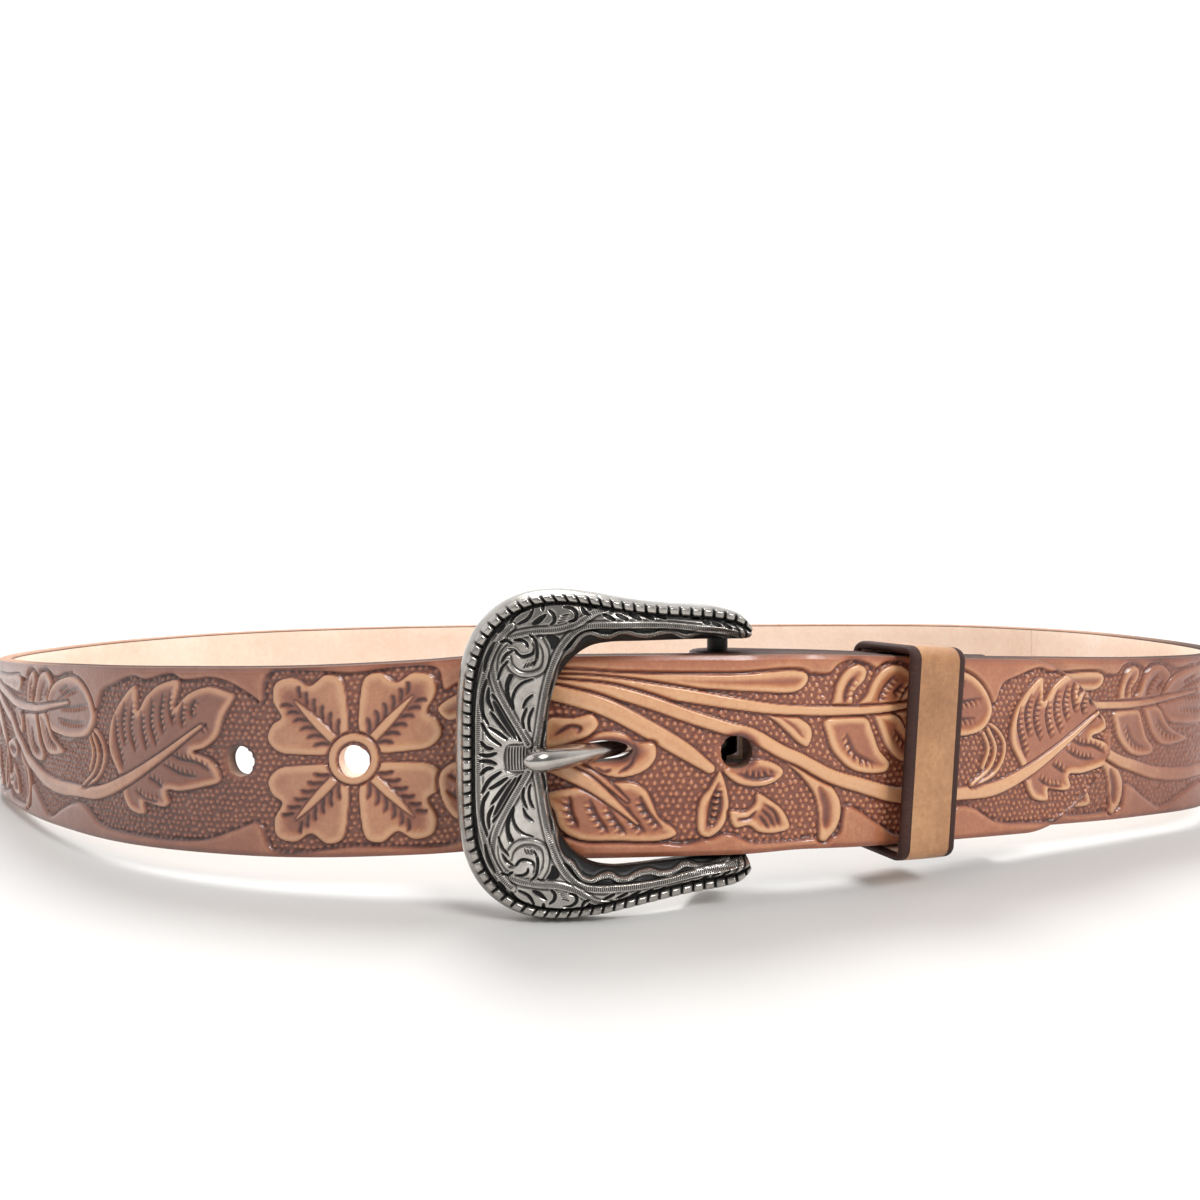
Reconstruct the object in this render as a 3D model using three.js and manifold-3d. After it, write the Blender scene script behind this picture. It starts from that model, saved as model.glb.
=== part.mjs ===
// A western leather belt, buckled into its waist loop and standing on its lower edge.
// Millimetres, +Z up, the buckle on the -Y side. The origin is the centre of the floor under it.
import * as THREE from "three";
import { mergeVertices } from "three/addons/utils/BufferGeometryUtils.js";
import Module from "manifold-3d";

// The leather strap.
const STRAP_WIDTH = 38;
const STRAP_THICKNESS = 3.6;
const STRAP_BEVEL = 0.6;
const LAYER_GAP = 0.3; // between leather layers, and between leather and metal
const LOOP_HALF_WIDTH = 172;
const LOOP_DEPTH = 240;
const BAR_FROM_FRONT = 26; // along the loop, from its front centre to the buckle's bar
const TAB_LENGTH = 66; // leather folded back behind the bar
const FOLD_TAPER = 16; // the stretch in which the folded layers close up
const CROSSING_START = 50; // before the bar, where the free end starts to rise over it
const CROSSING_END = 25; // before the bar, where it stands highest
const ARCH_HEIGHT = 1.2; // how much higher it stands there than over the bar
const TIP_FROM_PRONG = 118;
const TIP_LENGTH = 24;
const TIP_END_HALF_WIDTH = 3.5;
const TIP_ROUNDNESS = 1.7; // exponent of the tip's outline: 2 is an ellipse, 1 a triangle

// The punched holes.
const HOLE_DIAMETER = 6.2;
const HOLE_PITCH = 25;
const PRONG_HOLE_LENGTH = 11.6; // stretched long by the prong
const PRONG_HOLE_HEIGHT = 5.4;
const PRONG_HOLE_FROM_BAR = 23.4;

// The cast buckle. Heights over the bar are measured outward, away from the waist.
const WINDOW_CLEARANCE = 1.5; // above and below the strap
const WINDOW_REACH = 33; // from the bar to the window's round end
const BULGE_BAND = 9.5; // the buckle's extra half height over the window, at its widest
const BUCKLE_REACH = 49.5; // from the bar to the buckle's round end
const BAR_RADIUS = 2;
const BAR_ANCHOR = 2.4; // how far the bar runs into each arm
const ARM_RISE = 6; // height of the arms' underside over the bar, at their ends
const FRAME_RISE = 12.3; // the same at the round end
const BOW_REACH = 23; // from the bar to where the frame has risen
const LUG_REACH = 9; // how far from the bar the arms' lugs reach
const RIM_HEIGHT = 4.4;
const RIM_WIDTH = 1.5;
const RIM_FLARE = 0.6; // how far the underside stands out past the rim
const RIM_BEVEL = 0.25;
const WALL_KNEE = 2.4; // height at which the outer wall turns upright
const NOTCH_DEPTH = 0.75;
const NOTCH_PITCH = 2.2;
const NOTCH_LEAN = 0.4; // how far a notch cuts inward for each millimetre of its depth
const GROOVE_WIDTH = 1.5;
const GROOVE_DEPTH = 1;
const GROOVE_SLOPE = 0.3;
const CROWN_RISE = 0.4; // the engraved face over the rim, at the middle of its band
const FACE_EDGE_DROP = 0.25; // how far that face falls towards its two edges
const INNER_EDGE_HEIGHT = 2.4;
const INNER_BORDER = 1.6; // the sloped border round the window
const FULL_BAND = 6; // a narrower band than this has its rim and borders squeezed
const STRAP_DROP = 1.1; // how far the strap's middle hangs below the buckle's middle

// The prong.
const PRONG_RADIUS = 1.5;
const PRONG_TIP_RADIUS = 2.15;
const PRONG_LENGTH = 36.8; // from the bar to the tip
const PRONG_ROUNDING = 4.4; // the rounded last stretch
const PRONG_FLAT_RADIUS = 0.45; // left flat at the very end
const EYE_WALL = 1.7;
const EYE_WIDTH = 5;
const EYE_SLOT_CLEARANCE = 1;

// The keeper, a leather band round all the layers.
const KEEPER_FROM_BAR = 39.5;
const KEEPER_WIDTH = 13;
const KEEPER_THICKNESS = 1.8;
const KEEPER_CLEARANCE = 0.4;
const KEEPER_STANDOFF = 2.3; // more room in front of the strap, where the band stands proud
const KEEPER_CORNER = 3;
const KEEPER_BEVEL = 0.5;

// The two snaps that hold the folded tab.
const SNAP_FROM_BAR = [25, 57];
const SNAP_CAP_RADIUS = 5.5;
const SNAP_CAP_HEIGHT = 1.6;
const SNAP_POST_RADIUS = 1.8;
const SNAP_HEAD_RADIUS = 3.6;
const SNAP_HEAD_THICKNESS = 0.9;
const SNAP_CLEARANCE = 0.5;

// The loop's plan. across is a share of LOOP_HALF_WIDTH, back a share of LOOP_DEPTH.
const LOOP_PLAN = [
  { across: 0.0, back: 0.0 },
  { across: 0.15, back: 0.004 },
  { across: 0.285, back: 0.022 },
  { across: 0.43, back: 0.066 },
  { across: 0.585, back: 0.113 },
  { across: 0.74, back: 0.159 },
  { across: 0.875, back: 0.206 },
  { across: 0.965, back: 0.285 },
  { across: 1.0, back: 0.44 },
  { across: 0.965, back: 0.62 },
  { across: 0.8, back: 0.82 },
  { across: 0.45, back: 0.955 },
  { across: 0.0, back: 1.0 },
  { across: -0.45, back: 0.955 },
  { across: -0.8, back: 0.82 },
  { across: -0.965, back: 0.63 },
  { across: -1.0, back: 0.46 },
  { across: -0.95, back: 0.334 },
  { across: -0.85, back: 0.245 },
  { across: -0.705, back: 0.146 },
  { across: -0.55, back: 0.067 },
  { across: -0.37, back: 0.02 },
  { across: -0.175, back: 0.003 },
];

// Height of the strap's lower edge over the floor: propped up by the buckle, flat at the back.
// along is a share of the loop's length to the right of the window's middle, lift a share of
// the height at the buckle.
const LIFT = [
  { along: -0.5, lift: 0.0 },
  { along: -0.26, lift: 0.0 },
  { along: -0.21, lift: 0.1 },
  { along: -0.17, lift: 0.27 },
  { along: -0.13, lift: 0.46 },
  { along: -0.1, lift: 0.575 },
  { along: -0.07, lift: 0.67 },
  { along: -0.045, lift: 0.8 },
  { along: -0.02, lift: 0.98 },
  { along: 0.0, lift: 1.0 },
  { along: 0.03, lift: 0.97 },
  { along: 0.07, lift: 0.76 },
  { along: 0.1, lift: 0.62 },
  { along: 0.14, lift: 0.48 },
  { along: 0.2, lift: 0.43 },
  { along: 0.25, lift: 0.42 },
  { along: 0.31, lift: 0.34 },
  { along: 0.37, lift: 0.17 },
  { along: 0.42, lift: 0.05 },
  { along: 0.46, lift: 0.0 },
  { along: 0.5, lift: 0.0 },
];

// The holes, from the one in use. along is a share of HOLE_PITCH, up a share of STRAP_DROP.
const HOLES = [
  { along: 1.0, up: 0.5 },
  { along: -0.98, up: 0.5 },
  { along: -1.885, up: 0.0 },
  { along: -2.84, up: 0.0 },
];

// Half of the buckle's band, from the arm's end to the middle of the round end.
// outerAlong and outerOut are shares of BUCKLE_REACH and of half the buckle's height,
// innerAlong and innerOut of WINDOW_REACH and of half the window's height.
const BAND = [
  { outerAlong: -0.105, outerOut: 0.745, innerAlong: -0.145, innerOut: 1.01 },
  { outerAlong: -0.09, outerOut: 0.795, innerAlong: -0.105, innerOut: 1.0 },
  { outerAlong: -0.055, outerOut: 0.845, innerAlong: -0.05, innerOut: 1.0 },
  { outerAlong: 0.01, outerOut: 0.878, innerAlong: 0.03, innerOut: 1.0 },
  { outerAlong: 0.1, outerOut: 0.895, innerAlong: 0.15, innerOut: 1.0 },
  { outerAlong: 0.225, outerOut: 0.912, innerAlong: 0.33, innerOut: 1.0 },
  { outerAlong: 0.36, outerOut: 0.938, innerAlong: 0.51, innerOut: 1.0 },
  { outerAlong: 0.5, outerOut: 0.98, innerAlong: 0.65, innerOut: 0.997 },
  { outerAlong: 0.64, outerOut: 1.0, innerAlong: 0.755, innerOut: 0.965 },
  { outerAlong: 0.755, outerOut: 0.973, innerAlong: 0.84, innerOut: 0.88 },
  { outerAlong: 0.85, outerOut: 0.895, innerAlong: 0.905, innerOut: 0.765 },
  { outerAlong: 0.925, outerOut: 0.765, innerAlong: 0.948, innerOut: 0.63 },
  { outerAlong: 0.97, outerOut: 0.6, innerAlong: 0.975, innerOut: 0.48 },
  { outerAlong: 0.991, outerOut: 0.415, innerAlong: 0.99, innerOut: 0.325 },
  { outerAlong: 0.998, outerOut: 0.21, innerAlong: 0.998, innerOut: 0.165 },
  { outerAlong: 1.0, outerOut: 0.0, innerAlong: 1.0, innerOut: 0.0 },
];

// One tooth of the milled rim. at is a share of NOTCH_PITCH, cut a share of NOTCH_DEPTH.
const TOOTH = [
  { at: 0.12, cut: 0 },
  { at: 0.68, cut: 0 },
  { at: 0.9, cut: 1 },
];

// The prong's shank, from its eye to its tip. along is a share of PRONG_LENGTH,
// rise a share of the height from the bar to where the tip rests on the band, and swell a share
// of the way from the shank's radius to the tip's.
const SHANK = [
  { along: 0.08, rise: 0.0, swell: 0.0 },
  { along: 0.25, rise: 0.05, swell: 0.0 },
  { along: 0.38, rise: 0.16, swell: 0.0 },
  { along: 0.51, rise: 0.32, swell: 0.0 },
  { along: 0.64, rise: 0.53, swell: 0.15 },
  { along: 0.75, rise: 0.72, swell: 0.6 },
  { along: 0.85, rise: 0.87, swell: 1.0 },
  { along: 0.93, rise: 0.97, swell: 1.0 },
  { along: 1.0, rise: 1.0, swell: 1.0 },
];

// A snap's domed cap. radius is a share of SNAP_CAP_RADIUS, height of SNAP_CAP_HEIGHT.
const SNAP_DOME = [
  { radius: 1, height: 0 },
  { radius: 1, height: 0.35 },
  { radius: 0.8, height: 0.8 },
  { radius: 0.45, height: 1 },
  { radius: 0, height: 1 },
];

// Sizes that follow from those above.
const WINDOW_HEIGHT = STRAP_WIDTH + 2 * WINDOW_CLEARANCE;
const BUCKLE_HEIGHT = WINDOW_HEIGHT + 2 * BULGE_BAND;
const BUCKLE_MIDDLE = BUCKLE_HEIGHT / 2;
const PAIR_OFFSET = (STRAP_THICKNESS + LAYER_GAP) / 2;
const FOLD_RADIUS = BAR_RADIUS + LAYER_GAP + STRAP_THICKNESS / 2;
const LAYER_STEP = STRAP_THICKNESS + LAYER_GAP;
const PAIR_FACE = PAIR_OFFSET + STRAP_THICKNESS / 2;
const STRAP_LIFT = BUCKLE_MIDDLE - STRAP_DROP - STRAP_WIDTH / 2;
const TIP_DISTANCE = TIP_FROM_PRONG - PRONG_HOLE_FROM_BAR;
const KEEPER_DEPTH = 2 * LAYER_STEP + STRAP_THICKNESS + 2 * KEEPER_CLEARANCE + KEEPER_STANDOFF;
const KEEPER_HEIGHT = STRAP_WIDTH + 2 * KEEPER_CLEARANCE;

// How finely the curves are drawn.
const ROUND_SIDES = 16;
const LOOP_DIVISIONS = 2400;
const SLOPE_SPAN = 6; // the stretch on either side over which the strap's slope is measured

const UP = new THREE.Vector3(0, 0, 1);

const wasm = await Module();
wasm.setup();

function toSolid(geometry, matrix = new THREE.Matrix4()) {
  const bare = (geometry.index ? geometry.toNonIndexed() : geometry.clone()).applyMatrix4(matrix);
  bare.deleteAttribute("normal");
  bare.deleteAttribute("uv");
  const merged = mergeVertices(bare, 1e-4);
  return new wasm.Manifold(
    new wasm.Mesh({
      numProp: 3,
      vertProperties: merged.attributes.position.array,
      triVerts: new Uint32Array(merged.index.array),
    }),
  );
}

function toGeometry(solid) {
  const mesh = solid.getMesh();
  const geometry = new THREE.BufferGeometry();
  geometry.setAttribute("position", new THREE.BufferAttribute(mesh.vertProperties, 3));
  geometry.setIndex(new THREE.BufferAttribute(mesh.triVerts, 1));
  geometry.computeVertexNormals();
  return geometry;
}

// A closed solid through rings of equal length, each listed anticlockwise seen from the last one.
function loft(rings) {
  const count = rings[0].length;
  const positions = rings.flat().flatMap((p) => [p.x, p.y, p.z]);
  const index = [];
  for (let r = 0; r + 1 < rings.length; r++) {
    for (let i = 0; i < count; i++) {
      const a = r * count + i;
      const b = r * count + ((i + 1) % count);
      index.push(a, b, a + count, b, b + count, a + count);
    }
  }
  for (const [ring, first, outward] of [
    [rings[0], 0, false],
    [rings.at(-1), (rings.length - 1) * count, true],
  ]) {
    const middle = positions.length / 3;
    const centre = ring.reduce((sum, p) => sum.add(p), new THREE.Vector3()).divideScalar(count);
    positions.push(centre.x, centre.y, centre.z);
    for (let i = 0; i < count; i++) {
      const a = first + i;
      const b = first + ((i + 1) % count);
      index.push(...(outward ? [a, b, middle] : [b, a, middle]));
    }
  }
  const geometry = new THREE.BufferGeometry();
  geometry.setAttribute("position", new THREE.Float32BufferAttribute(positions, 3));
  geometry.setIndex(index);
  return geometry;
}

// The loop that the strap follows. Distances along it count from the buckle's bar, to the right.
const loopCurve = new THREE.CatmullRomCurve3(
  LOOP_PLAN.map((row) => new THREE.Vector3(row.across * LOOP_HALF_WIDTH, row.back * LOOP_DEPTH, 0)),
  true,
);
loopCurve.arcLengthDivisions = LOOP_DIVISIONS;
const LOOP_LENGTH = loopCurve.getLength();

function loopAt(distance) {
  const share = THREE.MathUtils.euclideanModulo((distance + BAR_FROM_FRONT) / LOOP_LENGTH, 1);
  const tangent = loopCurve.getTangentAt(share);
  return {
    point: loopCurve.getPointAt(share),
    tangent,
    outward: new THREE.Vector3(tangent.y, -tangent.x, 0),
  };
}

function smooth(value, from, to) {
  return THREE.MathUtils.smoothstep(value, from, to);
}

// A table's value at a place between its rows, on a curve that neither dips nor overshoots.
function readTable(rows, at) {
  const last = rows.length - 1;
  const place = THREE.MathUtils.clamp(at, rows[0].along, rows[last].along);
  const i = Math.min(last - 1, rows.findLastIndex((row) => row.along <= place));
  const slopeOf = (k) => (rows[k + 1].lift - rows[k].lift) / (rows[k + 1].along - rows[k].along);
  const bend = (k) => {
    if (k === 0 || k === last || slopeOf(k - 1) * slopeOf(k) <= 0) return 0;
    return (2 * slopeOf(k - 1) * slopeOf(k)) / (slopeOf(k - 1) + slopeOf(k));
  };
  const width = rows[i + 1].along - rows[i].along;
  const t = (place - rows[i].along) / width;
  return (
    rows[i].lift * (1 + 2 * t) * (1 - t) ** 2 +
    rows[i + 1].lift * t * t * (3 - 2 * t) +
    width * t * (1 - t) * (bend(i) * (1 - t) - bend(i + 1) * t)
  );
}

function liftAt(distance) {
  const fromMiddle = (distance + WINDOW_REACH / 2) / LOOP_LENGTH;
  return STRAP_LIFT * readTable(LIFT, THREE.MathUtils.euclideanModulo(fromMiddle + 0.5, 1) - 0.5);
}

function strapMiddle(distance) {
  return liftAt(distance) + STRAP_WIDTH / 2;
}

// How far the strap's mid-thickness lies outside the loop curve: the layer on the bar.
function barLayerOffset(distance) {
  return THREE.MathUtils.lerp(FOLD_RADIUS, PAIR_OFFSET, smooth(distance, 0, FOLD_TAPER));
}

// The same for the free end, which crosses over the bar and lies on that layer.
function freeEndOffset(distance) {
  if (distance >= 0) return barLayerOffset(distance) + LAYER_STEP;
  const rise = smooth(distance, -CROSSING_START, -CROSSING_END);
  const fall = smooth(distance, -CROSSING_END, 0);
  const top = FOLD_RADIUS + LAYER_STEP + ARCH_HEIGHT * (1 - fall);
  return THREE.MathUtils.lerp(PAIR_OFFSET, top, rise);
}

function strapPoint(distance, offset) {
  const { point, outward } = loopAt(distance);
  return point.addScaledVector(outward, offset).setZ(strapMiddle(distance));
}

function tipHalfWidth(fromTip) {
  const x = Math.min(1, Math.max(0, fromTip / TIP_LENGTH));
  const share = (1 - (1 - x) ** TIP_ROUNDNESS) ** (1 / TIP_ROUNDNESS);
  return Math.max(TIP_END_HALF_WIDTH, (share * STRAP_WIDTH) / 2);
}

function steps(from, to, spacing) {
  const count = Math.max(1, Math.ceil(Math.abs(to - from) / spacing));
  return Array.from({ length: count + 1 }, (_, i) => from + ((to - from) * i) / count);
}

// The strap's centreline, from the tab's end round the bar and the waist to the tip.
function strapCentreline() {
  const FINE_STEP = 3.2;
  const LOOP_STEP = 7;
  const FOLD_STEPS = 10;
  const line = [];
  const add = (distance, offset, halfWidth = STRAP_WIDTH / 2) =>
    line.push({ point: strapPoint(distance, offset), halfWidth });
  for (const d of steps(TAB_LENGTH, FOLD_TAPER, LOOP_STEP).slice(0, -1)) add(d, -barLayerOffset(d));
  for (const d of steps(FOLD_TAPER, 0, FINE_STEP).slice(0, -1)) add(d, -barLayerOffset(d));
  const { point: bar, tangent, outward } = loopAt(0);
  for (let i = 0; i <= FOLD_STEPS; i++) {
    const angle = (Math.PI * i) / FOLD_STEPS;
    const point = bar
      .clone()
      .addScaledVector(tangent, -FOLD_RADIUS * Math.sin(angle))
      .addScaledVector(outward, -FOLD_RADIUS * Math.cos(angle))
      .setZ(strapMiddle(0));
    line.push({ point, halfWidth: STRAP_WIDTH / 2 });
  }
  for (const d of steps(0, FOLD_TAPER, FINE_STEP).slice(1)) add(d, barLayerOffset(d));
  const beforeCrossing = -CROSSING_START - FINE_STEP;
  const waistEnd = LOOP_LENGTH + beforeCrossing;
  for (const d of steps(FOLD_TAPER, waistEnd, LOOP_STEP).slice(1)) add(d, PAIR_OFFSET);
  for (const d of steps(beforeCrossing, FOLD_TAPER, FINE_STEP).slice(1)) add(d, freeEndOffset(d));
  const tipStart = TIP_DISTANCE - TIP_LENGTH;
  for (const d of steps(FOLD_TAPER, tipStart, LOOP_STEP).slice(1)) add(d, freeEndOffset(d));
  const TIP_STEPS = 9;
  for (let i = 1; i <= TIP_STEPS; i++) {
    const fromTip = TIP_LENGTH * Math.cos((Math.PI / 2) * (i / TIP_STEPS));
    const d = TIP_DISTANCE - fromTip;
    add(d, freeEndOffset(d), tipHalfWidth(fromTip));
  }
  return line;
}

function strapRings() {
  const line = strapCentreline();
  const half = STRAP_THICKNESS / 2;
  return line.map(({ point, halfWidth }, i) => {
    const before = line[Math.max(0, i - 1)].point;
    const after = line[Math.min(line.length - 1, i + 1)].point;
    const along = after.clone().sub(before).setZ(0).normalize();
    const outward = new THREE.Vector3(along.y, -along.x, 0);
    const corner = halfWidth - STRAP_BEVEL;
    return [
      [half, -corner],
      [half - STRAP_BEVEL, -halfWidth],
      [STRAP_BEVEL - half, -halfWidth],
      [-half, -corner],
      [-half, corner],
      [STRAP_BEVEL - half, halfWidth],
      [half - STRAP_BEVEL, halfWidth],
      [half, corner],
    ].map(([out, up]) => point.clone().addScaledVector(outward, out).addScaledVector(UP, up));
  });
}

// A matrix whose X runs along the strap and its slope, Y inward through it and Z up.
function strapFrame(distance, offset, height) {
  const { point, tangent, outward } = loopAt(distance);
  const origin = point.addScaledVector(outward, offset).setZ(height);
  const slope = (liftAt(distance + SLOPE_SPAN) - liftAt(distance - SLOPE_SPAN)) / (2 * SLOPE_SPAN);
  const along = tangent.clone().addScaledVector(UP, slope).normalize();
  const inward = outward.clone().negate();
  const up = new THREE.Vector3().crossVectors(along, inward);
  return new THREE.Matrix4().makeBasis(along, inward, up).setPosition(origin);
}

// A cutter for an oval hole through the free end, no deeper than one layer where it lies on others.
function holeCutter(distance, height, length, tall) {
  const liesOnOthers = distance > -FOLD_RADIUS - HOLE_DIAMETER;
  const depth = liesOnOthers ? LAYER_STEP - LAYER_GAP / 2 : 2 * STRAP_THICKNESS;
  const cylinder = new THREE.CylinderGeometry(0.5, 0.5, depth, ROUND_SIDES);
  cylinder.scale(length, 1, tall);
  return toSolid(cylinder, strapFrame(distance, freeEndOffset(distance), height));
}

// A cutter for the slot through the fold, in which the prong's eye turns.
function eyeSlotCutter() {
  const foldSide = FOLD_RADIUS + STRAP_THICKNESS / 2;
  const eyeRadius = BAR_RADIUS + LAYER_GAP + EYE_WALL;
  const from = -foldSide - EYE_SLOT_CLEARANCE;
  const to = eyeRadius + EYE_SLOT_CLEARANCE;
  const depth = 2 * foldSide + LAYER_GAP;
  const slot = new THREE.BoxGeometry(to - from, depth, EYE_WIDTH + 2 * EYE_SLOT_CLEARANCE);
  slot.translate((from + to) / 2, 0, 0);
  return toSolid(slot, strapFrame(0, 0, BUCKLE_MIDDLE));
}

// A cutter for a snap's post through both layers, with a recess for its head in the outer one.
function snapCutter(distance) {
  const post = new THREE.CylinderGeometry(
    SNAP_POST_RADIUS + SNAP_CLEARANCE,
    SNAP_POST_RADIUS + SNAP_CLEARANCE,
    2 * PAIR_FACE + LAYER_GAP,
    ROUND_SIDES,
  );
  const recessDepth = SNAP_HEAD_THICKNESS + SNAP_CLEARANCE;
  const recess = new THREE.CylinderGeometry(
    SNAP_HEAD_RADIUS + SNAP_CLEARANCE,
    SNAP_HEAD_RADIUS + SNAP_CLEARANCE,
    recessDepth + LAYER_GAP / 2,
    ROUND_SIDES,
  );
  recess.translate(0, -PAIR_FACE + recessDepth / 2 - LAYER_GAP / 4, 0);
  const frame = strapFrame(distance, 0, strapMiddle(distance));
  return toSolid(post, frame).add(toSolid(recess, frame));
}

function makeStrap() {
  const prongHole = -PRONG_HOLE_FROM_BAR;
  const cutters = [
    holeCutter(prongHole, BUCKLE_MIDDLE, PRONG_HOLE_LENGTH, PRONG_HOLE_HEIGHT),
    eyeSlotCutter(),
    ...SNAP_FROM_BAR.map(snapCutter),
  ];
  for (const row of HOLES) {
    const distance = prongHole + row.along * HOLE_PITCH;
    const height = strapMiddle(distance) + row.up * STRAP_DROP;
    cutters.push(holeCutter(distance, height, HOLE_DIAMETER, HOLE_DIAMETER));
  }
  return toGeometry(cutters.reduce((strap, cutter) => strap.subtract(cutter), toSolid(loft(strapRings()))));
}

// The buckle's own frame: X from its round end towards the arms, -Y outward, origin on the bar.
const BAND_MIDDLE = (WINDOW_REACH + BUCKLE_REACH) / 2;

// Heights over the bar of the band's own underside, and of the casting's with its lugs.
function bowAt(fromBar) {
  return THREE.MathUtils.lerp(ARM_RISE, FRAME_RISE, smooth(fromBar, 0, BOW_REACH));
}

function undersideAt(fromBar) {
  const lug = 1 - smooth(fromBar, LUG_REACH / 3, LUG_REACH);
  return THREE.MathUtils.lerp(bowAt(fromBar), -BAR_RADIUS, lug);
}

// The band's section. out is the distance from the outer edge, up the height over the band's
// underside, and base marks the two points that lie on the casting's underside.
function bandProfile(band, notch) {
  const squeeze = Math.min(1, band / FULL_BAND);
  const fromEdge = (distance, up) => ({ out: distance * squeeze, up });
  const lean = NOTCH_LEAN * notch;
  const rimEnd = RIM_FLARE + RIM_WIDTH;
  const faceStart = rimEnd + GROOVE_WIDTH;
  const faceEdge = RIM_HEIGHT - FACE_EDGE_DROP;
  return [
    { out: 0, base: true },
    fromEdge(RIM_FLARE / 2 + lean, WALL_KNEE),
    fromEdge(RIM_FLARE + RIM_BEVEL + lean, RIM_HEIGHT - notch),
    fromEdge(rimEnd - RIM_BEVEL, RIM_HEIGHT - notch),
    fromEdge(rimEnd + GROOVE_SLOPE, RIM_HEIGHT - GROOVE_DEPTH),
    fromEdge(faceStart - GROOVE_SLOPE, RIM_HEIGHT - GROOVE_DEPTH),
    fromEdge(faceStart, faceEdge),
    { out: (faceStart * squeeze + band) / 2, up: RIM_HEIGHT + CROWN_RISE * squeeze },
    { out: band - INNER_BORDER * squeeze, up: faceEdge },
    { out: band, up: INNER_EDGE_HEIGHT },
    { out: band, base: true },
  ];
}

function bandEdges() {
  const rows = [...BAND, ...BAND.slice(0, -1).reverse()];
  const side = (i) => (i < BAND.length ? -1 : 1);
  const place = (along, out) => new THREE.Vector3(-along, out, 0);
  const outer = rows.map((row, i) =>
    place(row.outerAlong * BUCKLE_REACH, side(i) * row.outerOut * BUCKLE_MIDDLE),
  );
  const inner = rows.map((row, i) =>
    place(row.innerAlong * WINDOW_REACH, (side(i) * row.innerOut * WINDOW_HEIGHT) / 2),
  );
  return { outer: new THREE.CatmullRomCurve3(outer), inner: new THREE.CatmullRomCurve3(inner) };
}

function makeBuckleFrame() {
  const { outer, inner } = bandEdges();
  const notches = Math.round(outer.getLength() / NOTCH_PITCH);
  const rings = [];
  for (let n = 0; n < notches; n++) {
    for (const { at, cut } of TOOTH) {
      const t = outer.getUtoTmapping((n + at) / notches);
      const o = outer.getPoint(t);
      const i = inner.getPoint(t);
      const inward = i.clone().sub(o);
      const band = inward.length();
      inward.normalize();
      rings.push(
        bandProfile(band, cut * NOTCH_DEPTH).map(({ out, up, base }) => {
          const p = o.clone().addScaledVector(inward, out);
          const height = base ? undersideAt(-p.x) : bowAt(-p.x) + up;
          return new THREE.Vector3(p.x, -height, p.y);
        }),
      );
    }
  }
  const barLength = WINDOW_HEIGHT + 2 * BAR_ANCHOR;
  const bar = new THREE.CylinderGeometry(BAR_RADIUS, BAR_RADIUS, barLength, ROUND_SIDES);
  bar.rotateX(Math.PI / 2);
  return toGeometry(toSolid(loft(rings)).add(toSolid(bar)));
}

// The prong in the same frame: a bent shank with a fat rounded tip, and an eye round the bar.
function makeProng() {
  const SIDES = 12;
  const SHANK_STEP = 1 / 24;
  const ROUNDING_STEPS = 4;
  const restHeight = FRAME_RISE + RIM_HEIGHT + PRONG_TIP_RADIUS + 2 * LAYER_GAP;
  const path = new THREE.CatmullRomCurve3(
    SHANK.map((row) => new THREE.Vector3(-row.along * PRONG_LENGTH, -row.rise * restHeight, 0)),
  );
  const swells = new THREE.CatmullRomCurve3(SHANK.map((row) => new THREE.Vector3(row.swell, 0, 0)));
  const rounded = PRONG_ROUNDING / path.getLength();
  const stations = steps(0, 1 - rounded, SHANK_STEP).map((at) => ({ at, girth: 1 }));
  for (let i = 1; i <= ROUNDING_STEPS; i++) {
    const angle = (Math.PI / 2) * (i / ROUNDING_STEPS);
    const girth = Math.max(PRONG_FLAT_RADIUS / PRONG_TIP_RADIUS, Math.cos(angle));
    stations.push({ at: 1 - rounded * (1 - Math.sin(angle)), girth });
  }
  const rings = stations.map(({ at, girth }) => {
    const centre = path.getPointAt(at);
    const along = path.getTangentAt(at);
    const across = new THREE.Vector3(along.y, -along.x, 0);
    const swell = THREE.MathUtils.clamp(swells.getPoint(path.getUtoTmapping(at)).x, 0, 1);
    const radius = girth * THREE.MathUtils.lerp(PRONG_RADIUS, PRONG_TIP_RADIUS, swell);
    return Array.from({ length: SIDES }, (_, k) => {
      const angle = (-2 * Math.PI * k) / SIDES;
      return centre
        .clone()
        .addScaledVector(across, radius * Math.cos(angle))
        .addScaledVector(UP, radius * Math.sin(angle));
    });
  });
  const innerRadius = BAR_RADIUS + LAYER_GAP;
  const ringShape = new THREE.Shape().absarc(0, 0, innerRadius + EYE_WALL, 0, 2 * Math.PI);
  ringShape.holes.push(new THREE.Path().absarc(0, 0, innerRadius, 0, 2 * Math.PI));
  const eye = new THREE.ExtrudeGeometry(ringShape, {
    depth: EYE_WIDTH,
    bevelEnabled: false,
    curveSegments: ROUND_SIDES,
  });
  eye.translate(0, 0, -EYE_WIDTH / 2);
  return toGeometry(toSolid(loft(rings)).add(toSolid(eye)));
}

function roundedRectangle(width, height, corner) {
  const shape = new THREE.Shape();
  const x = width / 2;
  const y = height / 2;
  shape.moveTo(-x + corner, -y);
  shape.lineTo(x - corner, -y);
  shape.absarc(x - corner, -y + corner, corner, -Math.PI / 2, 0);
  shape.lineTo(x, y - corner);
  shape.absarc(x - corner, y - corner, corner, 0, Math.PI / 2);
  shape.lineTo(-x + corner, y);
  shape.absarc(-x + corner, y - corner, corner, Math.PI / 2, Math.PI);
  shape.lineTo(-x, -y + corner);
  shape.absarc(-x + corner, -y + corner, corner, Math.PI, 1.5 * Math.PI);
  return shape;
}

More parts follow.
